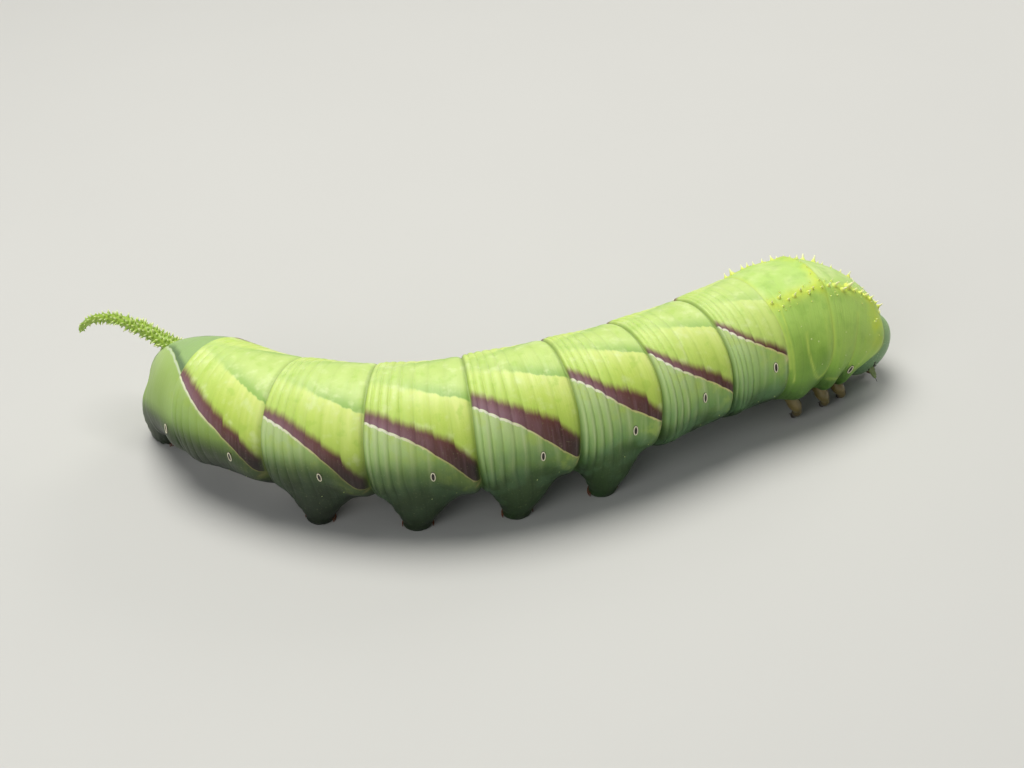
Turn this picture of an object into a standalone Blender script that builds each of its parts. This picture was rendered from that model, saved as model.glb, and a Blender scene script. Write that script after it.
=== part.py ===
# Rustic sphinx larva: a still, life-size model of the full-grown larva, resting on a flat floor.
# Metres, +Z up, with the origin on the floor under the middle of the box.
# The head is toward +X and the horn toward -X. The body bends round so that the right side faces -Y.
import math
import random

import bmesh
import bpy
import numpy as np
from mathutils import Vector

# Lengths below are in millimetres and are turned into metres where a mesh is made.
MM = 0.001
GAP = 0.3

# The body's planes from front to rear. Each row has the length of the segment behind the plane,
# the heading, pitch and roll of the body there in degrees, the half width, the rise of the back
# above the middle line and the drop of the belly below it.
BODY = {
    "thorax_1": (3.5, 8, -32, 5, 5.2, 4.8, 4.6),
    "thorax_2": (3.8, 15, -20, 6, 6.6, 6.5, 5.4),
    "thorax_3": (6.2, 21, -10, 6, 7.3, 7.7, 6.2),
    "abdomen_1": (6.7, 27, -2, 6, 7.3, 7.1, 6.6),
    "abdomen_2": (8.6, 30, -2, 5, 6.8, 6.6, 6.5),
    "abdomen_3": (8.2, 27, -2, 5, 6.8, 6.8, 6.6),
    "abdomen_4": (9.0, 18, -1, 4, 7.0, 7.0, 6.8),
    "abdomen_5": (9.5, 6, 1, 2, 7.0, 7.0, 6.8),
    "abdomen_6": (9.2, -10, 1, 1, 6.8, 6.8, 6.6),
    "abdomen_7": (10.0, -27, 2, 0, 6.6, 6.8, 6.4),
    "abdomen_8": (8.0, -43, 4, 0, 6.6, 6.9, 6.2),
    "anal_segment": (6.0, -56, 30, 0, 5.1, 5.3, 4.6),
}
TAIL_END = (0, -70, 75, 0, 4.3, 4.2, 3.4)

# The plane that the body is placed by, and where its middle lies.
ANCHOR = "abdomen_5"
ANCHOR_AT = (-1.44, -7.64, 9.4)

AXIS_STEP = 0.1
SIDES = 20

# The tail closes as a blunt dome: the two powers of its curve and the places of its rings.
TAIL_POWER = 3.2
TAIL_ROUNDING = 2.4
TAIL_PLACES = [0, 0.12, 0.25, 0.38, 0.5, 0.62, 0.73, 0.82, 0.9, 0.96, 0.99]

ANNULETS = {"thorax_1": 3, "thorax_2": 4, "thorax_3": 5, "abdomen_8": 6, "anal_segment": 6}
USUAL_ANNULETS = 8
ANNULET_RISE = 0.12

# The furrow between two segments: its depth on the back, on the flank, and its reach along the body.
FURROW_BACK = 0.25
FURROW_FLANK = 0.7
FURROW_REACH = 0.6
FURROW_ANGLE = 112
FURROW_SPREAD = 45

# The folds of the flank: angle from the back, place along the segment, half sizes and rise.
LOBES = {
    "front": (110, 0.16, 17, 0.17, 0.50),
    "rear": (122, 0.84, 16, 0.15, 0.40),
}
LEG_LOBE = (132, 0.50, 22, 0.30, 0.90)

# The rump is pinched in beside the horn: angle from the back, half size and depth.
PINCH = (52, 34, 1.1)

HEAD_DEPTH = 4.2
HEAD_HALF_WIDTH = 3.6
HEAD_RISE = 3.9
HEAD_DROP = 4.3
HEAD_CLEFT = 0.5
HEAD_LIP = 0.45
HEAD_POWER = 2.5
HEAD_ROUNDING = 2.2
HEAD_DEPTHS = (0, 0.16, 0.32, 0.48, 0.62, 0.74, 0.84, 0.92, 0.97, 0.995)
# Half width of the cleft, its fade over the face, and the lip's half width, place and half height,
# all as shares of the head.
CLEFT_WIDTH = 0.14
CLEFT_FADE = 0.25
LIP_WIDTH = 0.34
LIP_PLACE = -0.70
LIP_HEIGHT = 0.20

# Height above the face and radius of a feeler and of a jaw, with the depth and angle of the root
# and the lean ahead and up.
FEELER_RINGS = ((-0.5, 0.36), (0.4, 0.36), (0.58, 0.27), (1.0, 0.25), (1.15, 0.16))
FEELER_ROOT = (0.66, 122)
FEELER_LEAN = (0.9, -0.5)
JAW_RINGS = ((-0.5, 0.58), (0.45, 0.58), (0.75, 0.46), (0.95, 0.28))
JAW_ROOT = (0.84, 165)
JAW_LEAN = (1.3, 0.5)
FACE_SIDES = 8

PROLEG_SEGMENTS = {3: "abdomen_3", 4: "abdomen_4", 5: "abdomen_5", 6: "abdomen_6"}
PROLEG_PLACE = 0.63
# Height above the floor, distance from the middle, shift ahead, half length and half width of a proleg.
PROLEG_RINGS = (
    (0.0, 3.6, 0.0, 1.35, 1.15),
    (0.4, 3.6, 0.0, 1.50, 1.30),
    (0.9, 3.6, 0.1, 1.65, 1.40),
    (1.8, 3.7, 0.3, 2.45, 1.90),
    (3.0, 3.7, 0.5, 3.10, 2.25),
    (4.6, 3.5, 0.6, 3.40, 2.30),
    (6.4, 3.2, 0.6, 2.60, 1.80),
)
ANAL_PROLEG_PLACE = 0.42
ANAL_PROLEG_RINGS = (
    (0.0, 2.6, 0.0, 2.20, 1.20),
    (0.8, 2.7, 0.0, 2.50, 1.40),
    (2.4, 2.9, 0.0, 2.90, 1.60),
    (4.6, 2.8, 0.0, 2.70, 1.60),
    (6.4, 2.4, 0.0, 1.90, 1.30),
)

# The horn: length, heading and pitch of its line, the power of its bend, radius at root and tip.
HORN_LENGTH = 13.9
HORN_HEADING = -31
HORN_PITCH = (18.5, -52.5)
HORN_BEND = 1.9
HORN_RADIUS = (0.68, 0.32)
HORN_PLACE = 0.85
HORN_RINGS = 12
HORN_SIDES = 10
HORN_SUNK = 2.0
# The thorns stand in rows round the horn and lean toward its tip, where they are shorter.
THORN_ROWS = 18
THORNS_ROUND = 6
THORN_FIRST = 0.08
THORN_SPAN = 0.88
THORN_RADIUS = 0.19
THORN_RISE = 0.38
THORN_LEAN = 0.35
THORN_TAPER = 0.35
THORN_JITTER = 0.15

# A spine is a sunk foot, a ring low on the cone and a blunt tip.
SPINE_SIDES = 5
SPINE_LOW = 0.15
SPINE_LOW_WIDTH = 0.9
SPINE_TIP_WIDTH = 0.22
SPINE_SPREAD = (0.85, 1.15)

# The rows of knobs on the thorax close in toward the head.
KNOB_ANGLE_FRONT = 17
KNOB_ANGLE_REAR = 34
KNOB_SPACING = 0.85
KNOB_RADIUS = 0.34
KNOB_RISE = 0.45
KNOB_TALL = 0.85
KNOB_JITTER = 1.5
KNOB_CLOSING = 1.5

LEGS = {1: ("thorax_1", 0.45), 2: ("thorax_2", 0.50), 3: ("thorax_3", 0.50)}
LEG_ANGLE = 145
LEG_SIDES = 8
LEG_FLATTEN = 0.9
# A leg starts inside the body, and its foot and knee are set ahead and out of the line.
LEG_TOP = (1.6, 0.9)
LEG_FOOT = (0.7, 0.9)
LEG_KNEE = (0.3, 0.6)
# Share of the way from root to knee and radius, and the same from knee to foot.
LEG_UPPER = ((0.0, 0.98), (0.55, 0.84), (0.80, 0.64), (1.0, 0.66))
LEG_LOWER = ((0.45, 0.46), (0.80, 0.38), (1.0, 0.28))

# A cutter reaches past its segment by this share at each end.
CUT_MARGIN = 0.06

SEGMENTS = list(BODY)
ROWS = np.array(list(BODY.values()) + [TAIL_END], float)
STARTS = np.concatenate([[0.0], np.cumsum(ROWS[:-1, 0])])


def clear_scene():
    for item in list(bpy.data.objects):
        bpy.data.objects.remove(item)
    for group in list(bpy.data.collections):
        bpy.data.collections.remove(group)


def make_collection(name):
    group = bpy.data.collections.new(name)
    bpy.context.scene.collection.children.link(group)
    return group


def make_material(name, color, roughness):
    material = bpy.data.materials.new(name)
    material.use_nodes = True
    shader = material.node_tree.nodes["Principled BSDF"]
    shader.inputs["Base Color"].default_value = (*color, 1.0)
    shader.inputs["Roughness"].default_value = roughness
    shader.inputs["Metallic"].default_value = 0.0
    return material


def value_at(column, run):
    return float(np.interp(run, STARTS, ROWS[:, column]))


def forward_at(run):
    heading = math.radians(value_at(1, run))
    pitch = math.radians(value_at(2, run))
    flat = math.cos(pitch)
    return Vector((flat * math.cos(heading), flat * math.sin(heading), math.sin(pitch)))


def walk_axis():
    # The middle line of the body, walked from the front plane to the tail in short steps.
    steps = int(round(STARTS[-1] / AXIS_STEP))
    points = [Vector((0, 0, 0))]
    for step in range(steps):
        points.append(points[-1] - forward_at((step + 0.5) * AXIS_STEP) * AXIS_STEP)
    runs = np.arange(steps + 1) * AXIS_STEP
    table = np.array(points)
    anchor_run = STARTS[SEGMENTS.index(ANCHOR)]
    anchor = np.array([np.interp(anchor_run, runs, table[:, axis]) for axis in range(3)])
    return runs, table - anchor + np.array(ANCHOR_AT)


RUNS, AXIS = walk_axis()


def centre_at(run):
    return Vector([np.interp(run, RUNS, AXIS[:, axis]) for axis in range(3)])


def frame_at(run):
    # Forward, right and up of the body at a distance along it, with its roll.
    forward = forward_at(run)
    flat_right = Vector((forward.y, -forward.x, 0)).normalized()
    up = flat_right.cross(forward)
    roll = math.radians(value_at(3, run))
    right = flat_right * math.cos(roll) + up * math.sin(roll)
    return forward, right, right.cross(forward)


def bell(distance):
    return math.exp(-distance * distance)


def relief(name, place, length, side):
    # How far the skin stands out of the plain oval: rings, furrows, flank folds and leg bases.
    edge = min(place, 1 - place) * length
    furrow = FURROW_BACK + (FURROW_FLANK - FURROW_BACK) * bell((side - FURROW_ANGLE) / FURROW_SPREAD)
    rings = ANNULETS.get(name, USUAL_ANNULETS)
    out = ANNULET_RISE * abs(math.sin(math.pi * rings * place))
    out -= furrow * bell(edge / FURROW_REACH)
    if name.startswith("abdomen"):
        for angle, middle, wide, long, rise in LOBES.values():
            out += rise * bell((side - angle) / wide) * bell((place - middle) / long)
    if name in ("abdomen_8", "anal_segment"):
        angle, wide, depth = PINCH
        reach = place ** 1.5 if name == "abdomen_8" else 1.0
        out -= depth * bell((side - angle) / wide) * reach
    if name.startswith("thorax"):
        angle, middle, wide, long, rise = LEG_LOBE
        out += rise * bell((side - angle) / wide) * bell((place - middle) / long)
    return out


def skin_point(name, place, angle, swell=0.0):
    # A point on a segment: place runs from 0 at its front to 1 at its rear,
    # and angle is in degrees from the back, positive on the right side.
    index = SEGMENTS.index(name)
    length = ROWS[index, 0]
    run = STARTS[index] + GAP / 2 + place * (length - GAP)
    side = abs(angle)
    out = relief(name, min(max(place, 0), 1), length, side) + swell
    turn = math.radians(angle)
    height = value_at(5, run) if side < 90 else value_at(6, run)
    across = (value_at(4, run) + out) * math.sin(turn)
    above = (height + out) * math.cos(turn)
    shrink = tail_shrink(place) if name == "anal_segment" else 1.0
    forward, right, up = frame_at(run)
    return centre_at(run) + (right * across + up * above) * shrink


def tail_shrink(place):
    return (1 - min(max(place, 0), 1) ** TAIL_POWER) ** (1 / TAIL_ROUNDING)


def mesh_object(name, points, faces, group):
    mesh = bpy.data.meshes.new(name)
    mesh.from_pydata([Vector(point) * MM for point in points], [], faces)
    mesh.update()
    body = bmesh.new()
    body.from_mesh(mesh)
    bmesh.ops.remove_doubles(body, verts=body.verts, dist=1e-6)
    bmesh.ops.recalc_face_normals(body, faces=body.faces)
    body.to_mesh(mesh)
    body.free()
    item = bpy.data.objects.new(name, mesh)
    group.objects.link(item)
    return item


def loft(name, rings, group):
    # A closed body through rings of the same number of points, with a flat cap at each end.
    count = len(rings[0])
    points = [point for ring in rings for point in ring]
    faces = []
    for row in range(len(rings) - 1):
        for corner in range(count):
            after = (corner + 1) % count
            low = row * count
            high = low + count
            faces.append((low + corner, low + after, high + after, high + corner))
    faces.append(tuple(range(count)))
    last = (len(rings) - 1) * count
    faces.append(tuple(reversed(range(last, last + count))))
    return mesh_object(name, points, faces, group)


def ring_angles(sides):
    return [-180 + 360 * (corner + 0.5) / sides for corner in range(sides)]


def segment_rings(name, places, swell=0.0):
    return [[skin_point(name, place, angle, swell) for angle in ring_angles(SIDES)] for place in places]


def segment_places(name):
    if name == "anal_segment":
        return TAIL_PLACES
    count = 2 * ANNULETS.get(name, USUAL_ANNULETS)
    return [step / count for step in range(count + 1)]


def make_segment(name, group):
    return loft(name, segment_rings(name, segment_places(name)), group)


def make_cutter(name, group):
    # The same segment grown by the gap, for cutting what grows out of it.
    places = [-CUT_MARGIN] + segment_places(name)
    if name != "anal_segment":
        places = places + [1 + CUT_MARGIN]
    item = loft("cut_" + name, segment_rings(name, places, GAP), group)
    item.hide_render = True
    item.display_type = "WIRE"
    return item


def apply_modifiers(item):
    depsgraph = bpy.context.evaluated_depsgraph_get()
    mesh = bpy.data.meshes.new_from_object(item.evaluated_get(depsgraph))
    item.modifiers.clear()
    item.data = mesh


def keep_largest(item):
    body = bmesh.new()
    body.from_mesh(item.data)
    bmesh.ops.triangulate(body, faces=body.faces)
    left = set(body.faces)
    shells = []
    while left:
        queue = [left.pop()]
        shell = []
        while queue:
            face = queue.pop()
            shell.append(face)
            for edge in face.edges:
                for other in edge.link_faces:
                    if other in left:
                        left.remove(other)
                        queue.append(other)
        shells.append(shell)
    shells.sort(key=lambda shell: -sum(face.calc_area() for face in shell))
    for shell in shells[1:]:
        bmesh.ops.delete(body, geom=shell, context="FACES")
    body.to_mesh(item.data)
    body.free()


def cut_clear(item, cutter):
    cut = item.modifiers.new("clear", "BOOLEAN")
    cut.operation = "DIFFERENCE"
    cut.solver = "EXACT"
    cut.object = cutter
    apply_modifiers(item)
    keep_largest(item)


def join_pieces(item, pieces):
    # One union joins all small pieces of a node.
    cut = item.modifiers.new("joined", "BOOLEAN")
    cut.operation = "UNION"
    cut.solver = "EXACT"
    cut.operand_type = "COLLECTION"
    cut.collection = pieces
    apply_modifiers(item)
    for piece in list(pieces.objects):
        bpy.data.objects.remove(piece)
    bpy.data.collections.remove(pieces)
    keep_largest(item)


def round_ring(middle, across, other, radius, sides):
    points = []
    for corner in range(sides):
        turn = math.tau * corner / sides
        points.append(middle + (across * math.cos(turn) + other * math.sin(turn)) * radius)
    return points


def make_spine(name, root, direction, radius, rise, group):
    # A small blunt cone whose foot is sunk by its radius.
    across = direction.orthogonal().normalized()
    other = direction.cross(across)
    levels = ((-radius, 1.0), (SPINE_LOW * rise, SPINE_LOW_WIDTH), (rise, SPINE_TIP_WIDTH))
    rings = []
    for height, wide in levels:
        rings.append(round_ring(root + direction * height, across, other, radius * wide, SPINE_SIDES))
    return loft(name, rings, group)


def skin_normal(name, place, angle):
    here = skin_point(name, place, angle)
    ahead = skin_point(name, place - 0.02, angle) - skin_point(name, place + 0.02, angle)
    around = skin_point(name, place, angle + 2) - here
    normal = around.cross(ahead).normalized()
    middle = centre_at(STARTS[SEGMENTS.index(name)] + place * ROWS[SEGMENTS.index(name), 0])
    return normal if normal.dot(here - middle) > 0 else -normal


def add_knobs(item, name, rng):
    # Two rows of pointed knobs on the back of the thorax.
    pieces = make_collection("knobs_" + name)
    length = ROWS[SEGMENTS.index(name), 0]
    count = max(2, round(length / KNOB_SPACING))
    for side in (-1, 1):
        for step in range(count):
            place = (step + 0.5) / count
            tall = name == "thorax_2" and step < 2
            rise = (KNOB_TALL if tall else KNOB_RISE) * rng.uniform(*SPINE_SPREAD)
            share = (STARTS[SEGMENTS.index(name)] + place * length) / STARTS[SEGMENTS.index("abdomen_1")]
            angle = KNOB_ANGLE_REAR - (KNOB_ANGLE_REAR - KNOB_ANGLE_FRONT) * (1 - share) ** KNOB_CLOSING
            angle = side * (angle + rng.uniform(-KNOB_JITTER, KNOB_JITTER))
            root = skin_point(name, place, angle)
            make_spine("knob", root, skin_normal(name, place, angle), KNOB_RADIUS, rise, pieces)
    join_pieces(item, pieces)


def horn_path():
    base = skin_point("abdomen_8", HORN_PLACE, 0)
    heading = math.radians(HORN_HEADING)
    points = []
    spot = base.copy()
    step = HORN_LENGTH / HORN_RINGS
    for ring in range(HORN_RINGS + 1):
        share = ring / HORN_RINGS
        pitch = math.radians(HORN_PITCH[0] + (HORN_PITCH[1] - HORN_PITCH[0]) * share ** HORN_BEND)
        flat = -math.cos(pitch)
        way = Vector((flat * math.cos(heading), flat * math.sin(heading), math.sin(pitch)))
        points.append((spot.copy(), way, share))
        spot += way * step
    return points


def make_horn(group, cutter, rng):
    path = horn_path()
    start, way, _ = path[0]
    path.insert(0, (start - way * HORN_SUNK, way, 0.0))
    rings = []
    for middle, way, share in path:
        side = way.cross(Vector((0, 0, 1))).normalized()
        wide = HORN_RADIUS[0] + (HORN_RADIUS[1] - HORN_RADIUS[0]) * share
        rings.append(round_ring(middle, side, side.cross(way), wide, HORN_SIDES))
    horn = loft("horn", rings, group)
    pieces = make_collection("thorns")
    for row in range(THORN_ROWS):
        share = THORN_FIRST + THORN_SPAN * row / (THORN_ROWS - 1)
        spot = share * HORN_RINGS
        low = min(int(spot), HORN_RINGS - 1) + 1
        blend = spot - (low - 1)
        middle = path[low][0].lerp(path[low + 1][0], blend)
        way = path[low][1].lerp(path[low + 1][1], blend).normalized()
        side = way.cross(Vector((0, 0, 1))).normalized()
        up = side.cross(way)
        wide = HORN_RADIUS[0] + (HORN_RADIUS[1] - HORN_RADIUS[0]) * share
        for number in range(THORNS_ROUND):
            turn = math.tau * (number + 0.5 * (row % 2)) / THORNS_ROUND
            turn += rng.uniform(-THORN_JITTER, THORN_JITTER)
            out = side * math.cos(turn) + up * math.sin(turn)
            lean = (out + way * THORN_LEAN).normalized()
            rise = THORN_RISE * (1 - THORN_TAPER * share) * rng.uniform(*SPINE_SPREAD)
            make_spine("thorn", middle + out * wide, lean, THORN_RADIUS, rise, pieces)
    join_pieces(horn, pieces)
    cut_clear(horn, cutter)
    return horn


def flat_frame(name, place):
    # The heading on the floor under a place on a segment, and the point under its middle.
    index = SEGMENTS.index(name)
    run = STARTS[index] + place * ROWS[index, 0]
    forward = forward_at(run)
    along = Vector((forward.x, forward.y, 0)).normalized()
    across = Vector((along.y, -along.x, 0))
    middle = centre_at(run)
    return Vector((middle.x, middle.y, 0)), along, across


def oval_ring(middle, along, across, half_length, half_width, sides=12):
    return [
        middle + along * half_length * math.cos(math.tau * corner / sides)
        + across * half_width * math.sin(math.tau * corner / sides)
        for corner in range(sides)
    ]


def make_foot(name, segment, place, table, side, group, cutters):
    # A fleshy proleg: level rings from a flat sole up into the body, cut clear of it.
    # On the inner side of the bend the segments are shorter, and so are the prolegs.
    index = SEGMENTS.index(segment)
    bend = math.radians(ROWS[index, 1] - ROWS[index + 1, 1]) / ROWS[index, 0]
    ground, along, across = flat_frame(segment, place)
    rings = []
    for height, off, ahead, half_length, half_width in table:
        squeeze = 1 + side * off * bend
        middle = ground + across * off * side + along * ahead * squeeze + Vector((0, 0, height))
        rings.append(oval_ring(middle, along, across, half_length * min(squeeze, 1), half_width))
    item = loft(name, rings, group)
    for cutter in cutters:
        cut_clear(item, cutter)
    return item


def make_leg(name, segment, place, side, group, cutters):
    # A jointed leg: it leaves the leg base outward, bends and tapers to a small flat tip.
    root = skin_point(segment, place, LEG_ANGLE * side)
    _, along, across = flat_frame(segment, place)
    out = across * side
    foot = Vector((root.x, root.y, 0)) + along * LEG_FOOT[0] - out * LEG_FOOT[1]
    knee = root.lerp(foot, 0.5) + along * LEG_KNEE[0] + out * LEG_KNEE[1]
    path = [(root + Vector((0, 0, LEG_TOP[0])) - out * LEG_TOP[1], LEG_UPPER[0][1])]
    path += [(root.lerp(knee, share), wide) for share, wide in LEG_UPPER]
    path += [(knee.lerp(foot, share), wide) for share, wide in LEG_LOWER]
    rings = [oval_ring(middle, along, across, wide, wide * LEG_FLATTEN, LEG_SIDES) for middle, wide in path]
    item = loft(name, rings, group)
    for cutter in cutters:
        cut_clear(item, cutter)
    return item


def head_point(depth, angle, swell=0.0):
    # The head is a dome of two cheeks that closes the front of the body:
    # a cleft parts the cheeks on top, and the lip stands out under the face.
    forward, right, up = frame_at(0)
    start = centre_at(0) + forward * (GAP / 2)
    full = (1 - depth ** HEAD_POWER) ** (1 / HEAD_ROUNDING)
    turn = math.radians(angle)
    across = math.sin(turn) * full
    above = math.cos(turn) * full
    out = swell
    out -= HEAD_CLEFT * bell(across / CLEFT_WIDTH) * (0.5 + 0.5 * math.tanh(above / CLEFT_FADE))
    out += HEAD_LIP * bell(across / LIP_WIDTH) * bell((above - LIP_PLACE) / LIP_HEIGHT)
    height = HEAD_RISE if above > 0 else HEAD_DROP
    spot = right * across * (HEAD_HALF_WIDTH + out) + up * above * (height + out)
    return start + spot + forward * depth * (HEAD_DEPTH + out)


def head_rings(swell=0.0):
    return [[head_point(depth, angle, swell) for angle in ring_angles(SIDES)] for depth in HEAD_DEPTHS]


def make_face_piece(name, root, side, table, lean, group, cutter):
    # A jaw or a feeler: a short tapered stub that grows out of the face.
    forward, _, up = frame_at(0)
    root = head_point(root[0], root[1] * side)
    way = (root - centre_at(0) - forward * HEAD_DEPTH * 0.4).normalized()
    way = (way + forward * lean[0] + up * lean[1]).normalized()
    across = way.orthogonal().normalized()
    other = way.cross(across)
    rings = [round_ring(root + way * height, across, other, wide, FACE_SIDES) for height, wide in table]
    item = loft(name, rings, group)
    cut_clear(item, cutter)
    return item


def main():
    clear_scene()
    larva = make_collection("rustic_sphinx_larva")
    cutters = make_collection("cutters")
    rng = random.Random(12)
    green = make_material("green_skin", (0.36, 0.62, 0.10), 0.5)
    blue_green = make_material("head_green", (0.30, 0.55, 0.28), 0.4)
    thorn_green = make_material("horn_yellow_green", (0.50, 0.66, 0.16), 0.5)
    leg_brown = make_material("leg_tan", (0.45, 0.35, 0.22), 0.45)
    jaw_dark = make_material("jaw_dark", (0.10, 0.08, 0.06), 0.35)

    def finish(item, material):
        item.data.materials.clear()
        item.data.materials.append(material)

    cutter_of = {name: make_cutter(name, cutters) for name in SEGMENTS}
    for name in SEGMENTS:
        item = make_segment(name, larva)
        if name.startswith("thorax"):
            add_knobs(item, name, rng)
        finish(item, green)
    finish(loft("head", head_rings(), larva), blue_green)
    head_cutter = loft("cut_head", head_rings(GAP), cutters)
    for word, side in (("left", -1), ("right", 1)):
        for number, (segment, place) in LEGS.items():
            name = f"leg_{number}_{word}"
            middle = SEGMENTS.index(segment)
            nearby = [cutter_of[other] for other in SEGMENTS[max(middle - 1, 0):middle + 2]]
            finish(make_leg(name, segment, place, side, larva, nearby + [head_cutter]), leg_brown)
        for number, segment in PROLEG_SEGMENTS.items():
            name = f"proleg_{number}_{word}"
            nearby = [cutter_of[f"abdomen_{other}"] for other in (number, number - 1, number + 1)]
            finish(make_foot(name, segment, PROLEG_PLACE, PROLEG_RINGS, side, larva, nearby), green)
        nearby = [cutter_of["anal_segment"], cutter_of["abdomen_8"]]
        name = f"anal_proleg_{word}"
        foot = make_foot(name, "anal_segment", ANAL_PROLEG_PLACE, ANAL_PROLEG_RINGS, side, larva, nearby)
        finish(foot, green)
        name = f"antenna_{word}"
        feeler = make_face_piece(name, FEELER_ROOT, side, FEELER_RINGS, FEELER_LEAN, larva, head_cutter)
        finish(feeler, blue_green)
        name = f"mandible_{word}"
        jaw = make_face_piece(name, JAW_ROOT, side, JAW_RINGS, JAW_LEAN, larva, head_cutter)
        finish(jaw, jaw_dark)
    finish(make_horn(larva, cutter_of["abdomen_8"], rng), thorn_green)
    for cutter in list(cutters.objects):
        bpy.data.objects.remove(cutter)
    bpy.data.collections.remove(cutters)


main()
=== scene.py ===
import math
import random

import bmesh
import bpy
import numpy as np
from mathutils import Matrix, Vector
from mathutils.bvhtree import BVHTree


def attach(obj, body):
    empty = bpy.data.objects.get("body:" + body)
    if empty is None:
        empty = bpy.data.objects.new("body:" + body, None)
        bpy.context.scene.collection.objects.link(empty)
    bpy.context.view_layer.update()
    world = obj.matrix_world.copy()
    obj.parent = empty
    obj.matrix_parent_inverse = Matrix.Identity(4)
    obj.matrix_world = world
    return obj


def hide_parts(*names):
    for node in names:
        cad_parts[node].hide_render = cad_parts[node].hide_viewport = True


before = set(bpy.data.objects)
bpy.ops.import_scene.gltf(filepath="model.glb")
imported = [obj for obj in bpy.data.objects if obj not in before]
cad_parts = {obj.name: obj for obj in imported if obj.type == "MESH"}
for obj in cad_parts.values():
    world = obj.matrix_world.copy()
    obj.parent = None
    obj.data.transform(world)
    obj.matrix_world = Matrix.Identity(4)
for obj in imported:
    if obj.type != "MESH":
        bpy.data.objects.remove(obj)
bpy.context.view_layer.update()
print("frame loaded:", len(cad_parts), "nodes")

# Lengths in this file are in millimetres, and mm turns them into metres where a mesh is made.
mm = 0.001

# The camera stands at the photograph's angle, with its slight roll.
cameraView = {"aim": (2.96, 3.76, 6.0), "elevation": 35, "roll": 4.3, "distance": 180.07, "fieldOfView": 34}


def placeCamera():
    tilt = math.radians(cameraView["elevation"])
    roll = math.radians(cameraView["roll"])
    look = Vector((0, math.cos(tilt), -math.sin(tilt)))
    rise = Vector((0, math.sin(tilt), math.cos(tilt)))
    level = Vector((1, 0, 0))
    across = level * math.cos(roll) - rise * math.sin(roll)
    upward = level * math.sin(roll) + rise * math.cos(roll)
    eye = (Vector(cameraView["aim"]) - look * cameraView["distance"]) * mm
    turn = Matrix((across, upward, -look)).transposed().to_4x4()
    lens = bpy.data.cameras.new("camera")
    lens.angle = math.radians(cameraView["fieldOfView"])
    lens.clip_start = 0.005
    camera = bpy.data.objects.new("camera", lens)
    camera.matrix_world = Matrix.Translation(eye) @ turn
    bpy.context.scene.collection.objects.link(camera)
    bpy.context.scene.camera = camera


placeCamera()

# One row a segment from front to rear, at the segment's front plane:
# length, heading, pitch and roll in degrees, half width, rise of the back, drop of the belly.
bodyRows = {
    "thorax_1": (3.5, 8, -32, 5, 5.2, 4.8, 4.6),
    "thorax_2": (3.8, 15, -20, 6, 6.6, 6.5, 5.4),
    "thorax_3": (6.2, 21, -10, 6, 7.3, 7.7, 6.2),
    "abdomen_1": (6.7, 27, -2, 6, 7.3, 7.1, 6.6),
    "abdomen_2": (8.6, 30, -2, 5, 6.8, 6.6, 6.5),
    "abdomen_3": (8.2, 27, -2, 5, 6.8, 6.8, 6.6),
    "abdomen_4": (9.0, 18, -1, 4, 7.0, 7.0, 6.8),
    "abdomen_5": (9.5, 6, 1, 2, 7.0, 7.0, 6.8),
    "abdomen_6": (9.2, -10, 1, 1, 6.8, 6.8, 6.6),
    "abdomen_7": (10.0, -27, 2, 0, 6.6, 6.8, 6.4),
    "abdomen_8": (8.0, -43, 4, 0, 6.6, 6.9, 6.2),
    "anal_segment": (6.0, -56, 30, 0, 5.1, 5.3, 4.6),
}
bodyEnd = {
    "tail": (0, -70, 75, 0, 4.3, 4.2, 3.4),
    "anchor": "abdomen_5",
    "anchorAt": (-1.44, -7.64, 9.4),
    "step": 0.1,
}
segmentNames = list(bodyRows)
rowTable = np.array(list(bodyRows.values()) + [bodyEnd["tail"]], float)
starts = np.concatenate([[0.0], np.cumsum(rowTable[:-1, 0])])
numberOf = {name: number for number, name in enumerate(segmentNames)}


def columnAt(column, run):
    return np.interp(run, starts, rowTable[:, column])


def forwardAt(run):
    heading = np.radians(columnAt(1, run))
    pitch = np.radians(columnAt(2, run))
    flat = np.cos(pitch)
    return np.stack([flat * np.cos(heading), flat * np.sin(heading), np.sin(pitch)], -1)


def walkMiddleLine():
    steps = int(round(starts[-1] / bodyEnd["step"]))
    middles = (np.arange(steps) + 0.5) * bodyEnd["step"]
    walked = -np.cumsum(forwardAt(middles) * bodyEnd["step"], axis=0)
    points = np.concatenate([np.zeros((1, 3)), walked])
    runs = np.arange(steps + 1) * bodyEnd["step"]
    anchorRun = starts[numberOf[bodyEnd["anchor"]]]
    anchor = np.array([np.interp(anchorRun, runs, points[:, axis]) for axis in range(3)])
    return runs, points - anchor + np.array(bodyEnd["anchorAt"])


middleRuns, middlePoints = walkMiddleLine()


def centreAt(run):
    return np.stack([np.interp(run, middleRuns, middlePoints[:, axis]) for axis in range(3)], -1)


def frameAt(run):
    # Forward, right and up of the body at a distance along it, with its roll.
    forward = forwardAt(run)
    flatRight = np.stack([forward[..., 1], -forward[..., 0], np.zeros_like(forward[..., 0])], -1)
    flatRight /= np.linalg.norm(flatRight, axis=-1, keepdims=True)
    up = np.cross(flatRight, forward)
    roll = np.radians(columnAt(3, run))[..., None]
    right = flatRight * np.cos(roll) + up * np.sin(roll)
    return forward, right, np.cross(right, forward)


def bell(distance):
    return np.exp(-np.square(distance))


def smoothStep(low, high, value):
    share = np.clip((value - low) / (high - low), 0, 1)
    return share * share * (3 - 2 * share)


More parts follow.
